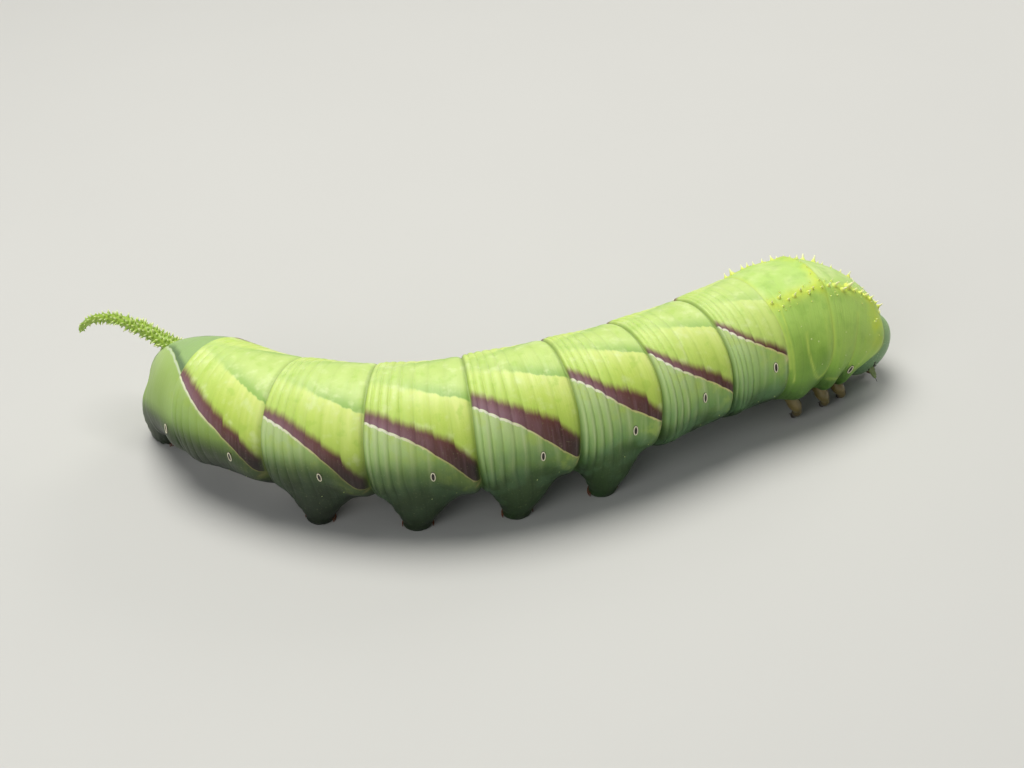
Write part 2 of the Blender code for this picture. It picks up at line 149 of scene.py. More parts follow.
def bodyPoint(run, angle, out=0.0):
    # Angle is in degrees from the back to the belly, positive on the right side.
    run, angle = np.broadcast_arrays(np.asarray(run, float), np.asarray(angle, float))
    _, right, up = frameAt(run)
    turn = np.radians(angle)
    height = np.where(np.abs(angle) < 90, columnAt(5, run), columnAt(6, run))
    across = (columnAt(4, run) + out) * np.sin(turn)
    above = (height + out) * np.cos(turn)
    tailPlace = np.clip((run - starts[-2]) / rowTable[-2, 0], 0, 1)
    shrink = (1 - tailPlace ** 3.2) ** (1 / 2.4)  # the tail closes as a blunt dome
    spot = right * across[..., None] + up * above[..., None]
    return centreAt(run) + spot * shrink[..., None]


def surfaceFrame(run, angle):
    # Point, outward normal and the way round the body, on the plain oval body.
    here = bodyPoint(run, angle)
    ahead = bodyPoint(run - 0.1, angle) - bodyPoint(run + 0.1, angle)
    around = bodyPoint(run, angle + 1) - bodyPoint(run, angle - 1)
    normal = np.cross(around, ahead)
    normal /= np.linalg.norm(normal, axis=-1, keepdims=True)
    outward = np.sum(normal * (here - centreAt(run)), axis=-1, keepdims=True)
    around /= np.linalg.norm(around, axis=-1, keepdims=True)
    return here, normal * np.sign(outward), around


# Colours and node helpers

def tint(red, green, blue):
    # Screen values from 0 to 255 become linear ones.
    shares = [value / 255 for value in (red, green, blue)]
    return tuple(s / 12.92 if s < 0.04045 else ((s + 0.055) / 1.055) ** 2.4 for s in shares) + (1.0,)


def feed(tree, socket, value):
    if isinstance(value, bpy.types.NodeSocket):
        tree.links.new(value, socket)
    else:
        socket.default_value = value


def newMaterial(name, roughness, settings=None):
    material = bpy.data.materials.new(name)
    material.use_nodes = True
    tree = material.node_tree
    shader = tree.nodes["Principled BSDF"]
    for key, value in {"Roughness": roughness, **(settings or {})}.items():
        shader.inputs[key].default_value = value
    return material, tree, shader


def valueOf(tree, name, output="Fac"):
    node = tree.nodes.new("ShaderNodeAttribute")
    node.attribute_name = name
    return node.outputs[output]


def calc(tree, operation, *values):
    # One sum from left to right over numbers and sockets.
    total = values[0]
    for value in values[1:]:
        node = tree.nodes.new("ShaderNodeMath")
        node.operation = operation
        feed(tree, node.inputs[0], total)
        feed(tree, node.inputs[1], value)
        total = node.outputs[0]
    return total


def times(tree, *values):
    return calc(tree, "MULTIPLY", *values)


def plus(tree, *values):
    return calc(tree, "ADD", *values)


def sway(tree, value, size):
    # Noise from 0 to 1 becomes a swing of this size about zero.
    return times(tree, calc(tree, "SUBTRACT", value, 0.5), size)


def span(tree, value, low, high):
    # 0 below low, 1 above high, and the other way round where low is the higher.
    node = tree.nodes.new("ShaderNodeMapRange")
    node.interpolation_type = "SMOOTHSTEP"
    feed(tree, node.inputs["Value"], value)
    node.inputs["From Min"].default_value = low
    node.inputs["From Max"].default_value = high
    return node.outputs[0]


def blendColor(tree, share, first, second, kind="MIX"):
    node = tree.nodes.new("ShaderNodeMix")
    node.data_type = "RGBA"
    node.blend_type = kind
    feed(tree, node.inputs[0], share)
    feed(tree, node.inputs[6], first)
    feed(tree, node.inputs[7], second)
    return node.outputs[2]


def cover(tree, color, *layers):
    # Each layer is a share and the colour that covers what lies under it.
    for share, layer in layers:
        color = blendColor(tree, share, color, layer)
    return color


def ramp(tree, share, *stops):
    # Each stop is a place with screen values of red, green and blue.
    node = tree.nodes.new("ShaderNodeValToRGB")
    bar = node.color_ramp
    while len(bar.elements) < len(stops):
        bar.elements.new(0.5)
    for element, (place, *color) in zip(bar.elements, stops):
        element.position = place
        element.color = tint(*color)
    feed(tree, node.inputs[0], share)
    return node.outputs[0]


def objectPlace(tree):
    return tree.nodes.new("ShaderNodeTexCoord").outputs["Object"]


def noise(tree, place, size, detail=3.0, stretch=None):
    # Size is the width of one patch.
    if stretch:
        mapping = tree.nodes.new("ShaderNodeMapping")
        mapping.inputs["Scale"].default_value = stretch
        tree.links.new(place, mapping.inputs["Vector"])
        place = mapping.outputs[0]
    node = tree.nodes.new("ShaderNodeTexNoise")
    tree.links.new(place, node.inputs["Vector"])
    node.inputs["Scale"].default_value = 1 / size
    node.inputs["Detail"].default_value = detail
    return node.outputs[0]


def cells(tree, place, size):
    node = tree.nodes.new("ShaderNodeTexVoronoi")
    tree.links.new(place, node.inputs["Vector"])
    node.inputs["Scale"].default_value = 1 / size
    return node.outputs["Distance"]


def bump(tree, height, strength, depth, before=None):
    node = tree.nodes.new("ShaderNodeBump")
    node.inputs["Strength"].default_value = strength
    node.inputs["Distance"].default_value = depth * mm
    tree.links.new(height, node.inputs["Height"])
    if before:
        tree.links.new(before, node.inputs["Normal"])
    return node.outputs[0]


def patchyMaterial(name, roughness, size, low, high, detail=2.0, settings=None):
    # Soft patches of two colours; size is the width of a patch in millimetres.
    material, tree, shader = newMaterial(name, roughness, settings)
    shade = noise(tree, objectPlace(tree), size * mm, detail)
    tree.links.new(blendColor(tree, shade, low, high), shader.inputs["Base Color"])
    return material


# Mesh helpers

def buildPiece(name, points, faces, material, recalc=True):
    mesh = bpy.data.meshes.new(name)
    mesh.from_pydata((np.asarray(points) * mm).tolist(), [], faces)
    if recalc:
        body = bmesh.new()
        body.from_mesh(mesh)
        bmesh.ops.recalc_face_normals(body, faces=body.faces)
        body.to_mesh(mesh)
        body.free()
    mesh.shade_smooth()
    if material:
        mesh.materials.append(material)
    piece = bpy.data.objects.new(name, mesh)
    bpy.context.scene.collection.objects.link(piece)
    return piece


def setAttribute(piece, name, values):
    values = np.asarray(values, np.float32)
    kind, field = ("FLOAT", "value") if values.ndim == 1 else ("FLOAT_VECTOR", "vector")
    layer = piece.data.attributes.new(name, kind, "POINT")
    layer.data.foreach_set(field, values.ravel())


def ringTurns(count):
    return np.linspace(0, math.tau, count, endpoint=False)


def gridFaces(rings, columns):
    # Quads between rings of the same number of points, closed round.
    row = np.arange(rings - 1)[:, None] * columns
    here = np.arange(columns)[None, :]
    after = (here + 1) % columns
    quads = np.stack([row + here, row + after, row + columns + after, row + columns + here], -1)
    return quads.reshape(-1, 4).tolist()


def closedTube(rings):
    # Rings of points become one closed body with a point at the middle of each end.
    rings = np.asarray(rings, float)
    count, columns = rings.shape[:2]
    points = np.concatenate([rings.reshape(-1, 3), rings[:1].mean(1), rings[-1:].mean(1)])
    faces = gridFaces(count, columns)
    front = count * columns
    low = front - columns
    for corner in range(columns):
        after = (corner + 1) % columns
        faces.append([after, corner, front])
        faces.append([low + corner, low + after, front + 1])
    return points, faces


def tubeRings(path, radii, sides, flatten=1.0, guide=(0, 0, 1)):
    # Rings square to a path; flatten squeezes them along the guide.
    path = np.asarray(path, float)
    ways = np.gradient(path, axis=0)
    ways /= np.linalg.norm(ways, axis=1, keepdims=True)
    side = np.cross(ways, np.asarray(guide, float))
    side /= np.linalg.norm(side, axis=1, keepdims=True)
    up = np.cross(side, ways)
    turn = ringTurns(sides)[None, :, None]
    wide = np.asarray(radii, float)[:, None, None]
    return path[:, None] + (side[:, None] * np.cos(turn) + up[:, None] * np.sin(turn) * flatten) * wide


def smoothPath(points, count):
    # A smooth line through the points, at even shares of their number.
    points = np.asarray(points, float)
    padded = np.concatenate([[2 * points[0] - points[1]], points, [2 * points[-1] - points[-2]]])
    spots = np.linspace(0, len(points) - 1, count)
    line = []
    for spot in spots:
        low = min(int(spot), len(points) - 2)
        t = spot - low
        a, b, c, d = padded[low:low + 4]
        line.append(0.5 * (2 * b + (c - a) * t + (2 * a - 5 * b + 4 * c - d) * t ** 2
                           + (3 * b - a - 3 * c + d) * t ** 3))
    return np.array(line)


def mergeParts(parts):
    # Several (points, faces) become one pair.
    points, faces, count = [], [], 0
    for partPoints, partFaces in parts:
        points.append(np.asarray(partPoints, float))
        faces += [[corner + count for corner in face] for face in partFaces]
        count += len(partPoints)
    return np.concatenate(points), faces


def finishPiece(piece, slot, *nodes):
    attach(piece, "root")
    if nodes:
        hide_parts(*nodes)


# Geometry Nodes helpers

def newTree(name, inputs):
    tree = bpy.data.node_groups.new(name, "GeometryNodeTree")
    tree.interface.new_socket("Geometry", in_out="INPUT", socket_type="NodeSocketGeometry")
    tree.interface.new_socket("Geometry", in_out="OUTPUT", socket_type="NodeSocketGeometry")
    sockets = {}
    for label, value in inputs.items():
        kind = "NodeSocketInt" if isinstance(value, int) else "NodeSocketFloat"
        sockets[label] = tree.interface.new_socket(label, in_out="INPUT", socket_type=kind)
        sockets[label].default_value = value
    start = tree.nodes.new("NodeGroupInput")
    end = tree.nodes.new("NodeGroupOutput")
    return tree, sockets, start, end


def addNode(tree, kind, inputs=None, **settings):
    node = tree.nodes.new(kind)
    for key, value in settings.items():
        setattr(node, key, value)
    for key, value in (inputs or {}).items():
        feed(tree, node.inputs[key], value)
    return node


def namedValue(tree, name, kind="FLOAT"):
    node = addNode(tree, "GeometryNodeInputNamedAttribute", {"Name": name}, data_type=kind)
    return node.outputs["Attribute"]


def endTree(tree, geometry, material, end):
    realized = addNode(tree, "GeometryNodeRealizeInstances", {"Geometry": geometry})
    painted = addNode(tree, "GeometryNodeSetMaterial", {"Geometry": realized.outputs[0], "Material": material})
    tree.links.new(painted.outputs[0], end.inputs[0])


def growPiece(name, base, tree, sockets, sizes, material, *spent):
    # The tree runs on the base piece, and its result becomes a plain mesh; base and spent pieces go.
    modifier = base.modifiers.new("grow", "NODES")
    modifier.node_group = tree
    for label, value in sizes.items():
        modifier[sockets[label].identifier] = value
    ready = base.evaluated_get(bpy.context.evaluated_depsgraph_get())
    mesh = bpy.data.meshes.new_from_object(ready)
    base.modifiers.remove(modifier)
    mesh.name = name
    mesh.materials.clear()
    mesh.materials.append(material)
    mesh.shade_smooth()
    for piece in (base, *spent):
        bpy.data.objects.remove(piece)
    piece = bpy.data.objects.new(name, mesh)
    bpy.context.scene.collection.objects.link(piece)
    return piece


# Skin of the whole body with its prolegs
skinShape = {
    "columns": 150,
    "ringsInAnnulet": (0, 0.07, 0.20, 0.40, 0.60, 0.80, 0.93),
    "annuletFront": 0.05,
    "annuletRear": 0.17,
    "furrowBack": 0.12,
    "furrowFlank": 0.55,
    "furrowReach": 0.45,
    "creaseDepth": 0.16,
    "creaseReach": 0.12,
    "wobble": 0.10,
    "unevenness": 0.07,
    # Angle, reach and size of the two lips that stand over the head, and how far back they run.
    "hoods": ((66, 32, 1.1), (124, 20, -0.3)), "hoodReach": 3.0,
    # The power that rounds the ring folds, and how far from the ends the unevenness dies out.
    "cushion": 0.6, "calmFront": 3, "calmRear": 5, "tailClosing": 1.6, "seed": 31,
    # Distance ahead and share of the front ring's width.
    "collar": ((-1.0, 0.20), (-0.9, 0.60), (-0.6, 0.76), (0.0, 0.82), (0.28, 0.87), (0.34, 0.93),
               (0.22, 0.98)),
    # Rise and width in degrees of the ridge under each row of knobs, and the rows' angles at the seams.
    "rowRidge": 0.34, "rowWidth": 11, "rowAngles": (24, 29, 32.5, 34),
    "seamHold": (1, 0.30, 0.36, 0.40, 1, 1, 1, 1, 1, 0.85, 0.15, 0.05, 0.05),
    "pinch": (52, 34, 1.1),
    # Angle, place, half sizes and rise of the soft folds.
    "flankFolds": ((110, 0.16, 17, 0.17, 0.50), (122, 0.84, 16, 0.15, 0.40)),
    "legFold": (132, 0.50, 22, 0.30, 0.90),
}
annuletEdges = {
    "thorax_1": (0, 0.36, 0.70, 1),
    "thorax_2": (0, 0.30, 0.56, 0.80, 1),
    "thorax_3": (0, 0.24, 0.46, 0.66, 0.84, 1),
    "abdomen_8": (0, 0.22, 0.41, 0.58, 0.73, 0.87, 1),
    "anal_segment": (0, 0.30, 0.58, 0.82, 1),
}
usualAnnulets = (0, 0.20, 0.38, 0.53, 0.655, 0.76, 0.85, 0.93, 1)

# Side folds that only the thorax has: segment, place, angle, half sizes and rise.
thoraxFolds = (
    ("thorax_3", 0.26, 92, 0.26, 15, 0.38),
    ("thorax_3", 0.74, 100, 0.22, 22, 0.18),
    ("thorax_2", 0.55, 98, 0.34, 20, 0.22),
    ("thorax_1", 0.55, 92, 0.32, 24, 0.16),
)
# Strengths from the first thorax segment to the rear end.
segmentRows = {
    "annulet": (0.14, 0.14, 0.2, 0.9, 1, 1, 1, 0.9, 0.75, 0.5, 0.12, 0.12),
    # Painted shade in the creases between annulets.
    "grooveShade": (0.1, 0.1, 0.15, 0.9, 1, 1, 1, 1, 0.8, 0.5, 0.15, 0.1),
    "crestLine": (0, 0, 0, 0.6, 1, 1, 1, 0.8, 0.6, 0.2, 0, 0),
    # Painted shade on the low flank, growing toward the tail.
    "paintedShade": (0, 0, 0, 0, 0, 0, 0.35, 0.7, 0.95, 1, 1, 0.9),
}
# How strong the markings of the skin are; the rear end's darkening is painted shade, and the prolegs' dark
# green partly so.
markStrength = {
    "rumpPatch": 0.90, "rumpSide": 0.85, "beforeRump": 0.62, "rearShade": 0.12, "rim": 0.75, "foot": 0.85,
    "collar": 0.75, "ridge": 0.90, "rowMost": 0.95, "pouch": 0.60, "thoraxRear": 0.60, "dot": 1.30,
}
ridgeFold = {"segment": "thorax_3", "place": 0.06, "reach": 0.07, "rise": 0.30}
rumpPlate = {"place": 0.50, "reach": 0.34, "wide": 46, "rise": 0.30}

prolegShape = {
    "segments": {3: "abdomen_3", 4: "abdomen_4", 5: "abdomen_5", 6: "abdomen_6"},
    "place": 0.63,
    # Height, distance from the middle, shift ahead, half length, half width.
    "rings": ((0.0, 3.6, 0.0, 1.30, 1.12), (0.25, 3.6, 0.0, 1.52, 1.32), (0.9, 3.6, 0.1, 1.58, 1.36),
              (1.8, 3.7, 0.3, 2.30, 1.80), (3.0, 3.7, 0.5, 3.10, 2.30), (4.6, 3.5, 0.6, 3.70, 2.80),
              (6.4, 3.2, 0.6, 4.10, 3.40)),
    "front": 4.9, "rear": 3.3,
    "middle": 143, "outer": 40, "inner": 33,
    "sole": 0.30, "blend": (0.42, 1.0),
}
analProlegShape = {
    "place": 0.42,
    "rings": ((0.0, 2.6, 0.0, 2.15, 1.15), (0.3, 2.6, 0.0, 2.40, 1.38), (1.1, 2.7, 0.0, 2.55, 1.42),
              (2.4, 2.9, 0.0, 2.95, 1.65), (4.6, 3.0, 0.0, 3.20, 2.00), (6.4, 2.8, 0.0, 3.20, 2.20)),
    "front": 3.6, "rear": 2.9,
    "middle": 132, "outer": 44, "inner": 38,
    "sole": 0.34, "blend": (0.45, 1.0),
}


def ringTable():
    # Segment number, place, share within the annulet and the annulet's middle, for every ring of the skin.
    table = []
    for number, name in enumerate(segmentNames):
        edges = annuletEdges.get(name, usualAnnulets)
        for low, high in zip(edges, edges[1:]):
            for share in skinShape["ringsInAnnulet"]:
                table.append((number, low + (high - low) * share, share, (low + high) / 2))
    table = np.array(table)
    tail = table[:, 0] == len(segmentNames) - 1
    # The rings close up toward the tail's dome.
    table[tail, 1] = 1 - (1 - table[tail, 1]) ** skinShape["tailClosing"]
    return table


def bySegment(name, number):
    return np.interp(number, range(len(segmentNames)), segmentRows[name])


def seamDepth(number, place):
    # The furrow between two segments is shallower on the thorax and by the tail.
    seam = np.where(place < 0.5, number, number + 1)
    return np.interp(seam, range(len(segmentNames) + 1), skinShape["seamHold"])


def rowAngle(run):
    # The rows of knobs on the thorax close in toward the head.
    return np.interp(run, (0, starts[1], starts[2], starts[3]), skinShape["rowAngles"])


def reliefAt(number, place, share, angle):
    # How far the skin stands out of the plain oval body.
    side = np.abs(angle)
    length = rowTable[number.astype(int), 0]
    edge = np.minimum(place, 1 - place) * length
    deeper = skinShape["furrowFlank"] - skinShape["furrowBack"]
    furrow = skinShape["furrowBack"] + deeper * bell((side - 112) / 45)
    rise = skinShape["annuletFront"] + (skinShape["annuletRear"] - skinShape["annuletFront"]) * smoothStep(
        0.30, 0.75, place)
    rise = rise * bySegment("annulet", number)
    out = rise * np.sin(math.pi * share) ** skinShape["cushion"] * (1 - 0.45 * smoothStep(140, 175, side))
    hold = seamDepth(number, place)
    out = out - furrow * hold * bell(edge / skinShape["furrowReach"])
    out = out - skinShape["creaseDepth"] * hold ** 2 * bell(edge / skinShape["creaseReach"])
    for foldAngle, middle, wide, long, height in skinShape["flankFolds"]:
        lump = height * bell((side - foldAngle) / wide) * bell((place - middle) / long)
        out = out + lump * (number >= numberOf["abdomen_1"]) * (number <= numberOf["abdomen_8"])
    angleMiddle, wide, depth = skinShape["pinch"]
    rear = numberOf["abdomen_8"]
    reach = np.where(number == rear, place ** 1.5, 1.0) * (number >= rear)
    out = out - depth * bell((side - angleMiddle) / wide) * reach
    foldAngle, middle, wide, long, height = skinShape["legFold"]
    lump = height * bell((side - foldAngle) / wide) * bell((place - middle) / long)
    out = out + lump * (number <= numberOf["thorax_3"])
    for name, middle, foldAngle, long, wide, height in thoraxFolds:
        lump = bell((side - foldAngle) / wide) * bell((place - middle) / long)
        out = out + height * lump * (number == numberOf[name])
    ridge = bell((place - ridgeFold["place"]) / ridgeFold["reach"]) * (1 - smoothStep(22, 40, side))
    out = out + ridgeFold["rise"] * ridge * (number == numberOf[ridgeFold["segment"]])
    run = starts[number.astype(int)] + place * length
    row = bell((side - rowAngle(run)) / skinShape["rowWidth"])
    row = row * smoothStep(starts[3], starts[3] - 3, run) * smoothStep(0, 1.5, run)
    out = out + skinShape["rowRidge"] * row
    plate = smoothStep(0.9, 0.3, np.abs(place - rumpPlate["place"]) / rumpPlate["reach"] * 0.6
                       + side / rumpPlate["wide"] * 0.6)
    return out + rumpPlate["rise"] * plate * (number == numberOf["anal_segment"])


def waves(rng, run, angle, size):
    # Slow unevenness that closes round the body.
    turn = np.radians(angle)
    total = 0
    for harmonic in (1, 2, 3, 5):
        total = total + rng.uniform(0.4, 1.0) / harmonic * np.sin(
            harmonic * turn + run * rng.uniform(0.25, 0.9) + rng.uniform(0, math.tau))
    return total * size


def pullFoot(points, run, angle, sideSign, shape, segment):
    # A patch of the skin is drawn down over a proleg; returns the points and how much each is foot.
    number = numberOf[segment]
    footRun = starts[number] + shape["place"] * rowTable[number, 0]
    side = angle * sideSign
    ahead = footRun - run
    ahead = np.where(ahead > 0, ahead / shape["front"], ahead / shape["rear"])
    out = shape["middle"] - side
    out = np.where(out > 0, out / shape["outer"], out / shape["inner"])
    ahead, out = np.broadcast_arrays(ahead, out)
    reach = (np.abs(ahead) ** 2.3 + np.abs(out) ** 2.3) ** (1 / 2.3)
    inside = (reach < 1) & (side > 0)
    rows, columns = np.nonzero(inside)
    ahead, out, reach = ahead[inside], out[inside], np.maximum(reach[inside], 1e-3)
    flat = np.hypot(ahead, out)
    cos, sin = ahead / np.maximum(flat, 1e-6), out / np.maximum(flat, 1e-6)
    hereRun, hereSide = run[rows, 0], side[0, columns]
    edgeRun = footRun + (hereRun - footRun) / reach
    edgeSide = shape["middle"] + (hereSide - shape["middle"]) / reach
    edgeHeight = np.maximum(bodyPoint(edgeRun, edgeSide * sideSign)[:, 2], 0.5)
    climb = np.clip((reach - shape["sole"]) / (1 - shape["sole"]), 0, 1)
    height = edgeHeight * climb ** 1.15
    table = np.array(shape["rings"])
    offset, shift, halfLong, halfWide = (
        np.interp(height, table[:, 0], table[:, column]) for column in (1, 2, 3, 4))
    middle = centreAt(footRun)
    along = forwardAt(footRun) * (1, 1, 0)
    along /= np.linalg.norm(along)
    across = np.array((along[1], -along[0], 0)) * sideSign
    bend = math.radians(rowTable[number, 1] - rowTable[number + 1, 1]) / rowTable[number, 0]
    squeeze = 1 + sideSign * offset * bend
    onSole = np.clip(reach / shape["sole"], 0, 1)
    wrinkle = 0.035 * np.sin(height * 6.5) * smoothStep(0.3, 0.9, height)
    wrinkle = 1 + wrinkle * (1 - smoothStep(2.2, 4.0, height))
    long = halfLong * np.minimum(squeeze, 1) * cos * onSole * wrinkle
    wide = halfWide * sin * onSole * wrinkle
    target = np.array((middle[0], middle[1], 0)) + along * (shift * squeeze + long)[:, None]
    target = target + across * (offset + wide)[:, None]
    target[:, 2] = height + 0.16 * bell(wide / 0.22) * smoothStep(1.0, 0.4, onSole)
    low, high = shape["blend"]
    keep = smoothStep(low, high, reach)[:, None]
    points[rows, columns] = target * (1 - keep) + points[rows, columns] * keep
    foot = np.zeros(points.shape[:2])
    foot[rows, columns] = 1 - smoothStep(0.30, 0.95, reach)
    return foot


# Stripes of the abdomen: angle of the lower edge and width in degrees, at places from front to rear.
stripePlaces = (0, 0.10, 0.20, 0.33, 0.45, 0.60, 0.75, 0.90, 1)
stripeRows = {
    "abdomen_1": ((81, 77, 73, 68, 63, 56, 49, 39, 32), (4, 6, 6, 5.5, 5, 5, 6, 6, 6)),
    "abdomen_2": ((102, 93, 86, 78, 71, 63, 55, 44, 34), (9, 11, 11.5, 11, 10, 9, 9, 7.5, 7)),
    "abdomen_3": ((101, 93, 86, 79, 72, 62, 51, 42, 36), (8, 12, 16, 19, 16, 11.5, 10, 10, 9)),
    "abdomen_4": ((110, 101, 93, 83, 74, 63, 55, 46, 41), (19, 23, 26, 24, 19, 16, 14.5, 13, 12)),
    "abdomen_5": ((113, 102, 91, 81, 71, 62, 56, 50, 47), (20, 25, 24, 20, 15.5, 12.5, 11.5, 11, 10)),
    "abdomen_6": ((119, 108, 97, 85, 75, 66, 58, 53, 50), (13, 18, 20, 16.5, 14, 12, 10, 9, 8)),
    "abdomen_7": ((111, 99, 90, 81, 72, 64, 54, 44, 38), (15, 19, 19, 16.5, 15.5, 15, 13, 10, 8)),
    "abdomen_8": ((37, 32, 27, 21, 16, 12, 8, 5, 3), (7, 7.5, 7, 6, 5, 3.5, 2, 1, 0.5)),
}
# Over each stripe a yellow band runs up to a border, with green shade above it: the border's angle at the
# front and at the rear, and the strength of the two.
borderRows = {
    "abdomen_1": (28, 10, 0.5), "abdomen_2": (34, 10, 0.85), "abdomen_3": (36, 8, 1), "abdomen_4": (36, 8, 1),
    "abdomen_5": (36, 12, 1), "abdomen_6": (41, 14, 1), "abdomen_7": (40, 6, 1),
}
borderShape = {"power": 1.3, "shadeReach": 9.0, "cornerReach": 0.035}


def rowValue(row, place):
    # The row's value at a place, with its corners rounded off.
    reach = borderShape["cornerReach"]
    return sum(np.interp(place + shift, stripePlaces, row) for shift in (-reach, 0, reach)) / 3


def markings(number, place, side, middle):
    # Distances in millimetres from the stripe's edges, degrees above the yellow band's border, how
    # strong band and shade are, and the place across the band.
    shape = np.broadcast(number, side).shape
    low, high, border = np.full(shape, 3.0), np.full(shape, -3.0), np.full(shape, 9.0)
    bandHold, shadeHold, bandShare = np.zeros(shape), np.zeros(shape), np.zeros(shape)
    halfWidth = columnAt(4, starts[number.astype(int)] + place * rowTable[number.astype(int), 0])
    degree = np.radians(halfWidth * 0.8)
    stepped = 0.75 * place + 0.25 * middle  # the upper edge goes in small steps, one to an annulet
    fade = 1 - 0.75 * smoothStep(0.15, 0.80, place)
    for name, (edges, widths) in stripeRows.items():
        here = np.broadcast_to(number == numberOf[name], shape)
        upper = rowValue(edges, stepped) - rowValue(widths, stepped)
        low = np.where(here, (rowValue(edges, place) - side) * degree, low)
        high = np.where(here, (side - upper) * degree, high)
        if name in borderRows:
            front, rear, strength = borderRows[name]
            above = rear + (front - rear) * (1 - place) ** borderShape["power"] - side
            green = bell(np.maximum(above, 0) / borderShape["shadeReach"]) * fade * strength
            border = np.where(here, above, border)
            bandHold = np.where(here, strength, bandHold)
            shadeHold = np.where(here, green, shadeHold)
            across = -above / np.maximum(upper - side - above, 4)
            bandShare = np.where(here, np.clip(across, 0, 1), bandShare)
    low = np.where(np.broadcast_to(number == numberOf["anal_segment"], shape), -3.0, low)
    return low, high, border, bandHold, shadeHold, bandShare


# Pale lines along the folds of the thorax, as points of segment, place and angle, with half width
# in millimetres and strength; and the green pouch that the fourth goes round.
thoraxLines = (
    (0.30, 0.90, (("thorax_3", 1.0, 0), ("abdomen_1", 0.02, 30), ("thorax_3", 1.0, 60),
                  ("thorax_3", 0.98, 92))),
    (0.13, 0.75, (("thorax_3", 0.84, 40), ("thorax_3", 0.90, 63), ("thorax_3", 0.91, 86),
                  ("thorax_3", 0.86, 108))),
    (0.22, 0.70, (("thorax_3", 0.02, 40), ("thorax_3", 0.0, 64), ("thorax_2", 0.97, 84),
                  ("thorax_3", 0.06, 104),
                  ("thorax_3", 0.20, 112))),
    (0.14, 0.80, (("thorax_3", 0.52, 66), ("thorax_3", 0.54, 78), ("thorax_3", 0.50, 88),
                  ("thorax_3", 0.42, 99),
                  ("thorax_3", 0.30, 108), ("thorax_3", 0.20, 112))),
    (0.12, 0.45, (("thorax_3", 0.12, 52), ("thorax_3", 0.13, 66), ("thorax_3", 0.10, 80))),
    (0.20, 0.45, (("thorax_2", 0.02, 50), ("thorax_2", 0.05, 77), ("thorax_1", 0.94, 104))),
    (0.16, 0.50, (("thorax_1", 0.34, 60), ("thorax_1", 0.42, 84), ("thorax_1", 0.56, 108))),
    (0.22, 0.55, (("thorax_2", 0.85, 118), ("thorax_2", 0.45, 116), ("thorax_2", 0.10, 119))),
)
pouch = {"at": ("thorax_3", 0.28, 92), "long": 1.15, "tall": 1.9}
arcOfDegree = 0.12


def flatSpot(name, place, angle):
    number = numberOf[name]
    return np.array((starts[number] + place * rowTable[number, 0], angle * arcOfDegree))


def lineShare(run, side, halfWidth, spots):
    # 1 on the line through the spots, fading to 0 beside it.
    line = smoothPath(np.pad(np.array([flatSpot(*spot) for spot in spots]), ((0, 0), (0, 1))), 9 * len(spots))
    nearest = np.full(np.broadcast(run, side).shape, 9.0)
    for start, end in zip(line, line[1:]):
        way = end - start
        along = (run - start[0]) * way[0] + (side * arcOfDegree - start[1]) * way[1]
        along = np.clip(along / (way[0] ** 2 + way[1] ** 2), 0, 1)
        apart = np.hypot(run - start[0] - way[0] * along, side * arcOfDegree - start[1] - way[1] * along)
        nearest = np.minimum(nearest, apart)
    return bell(nearest / halfWidth)


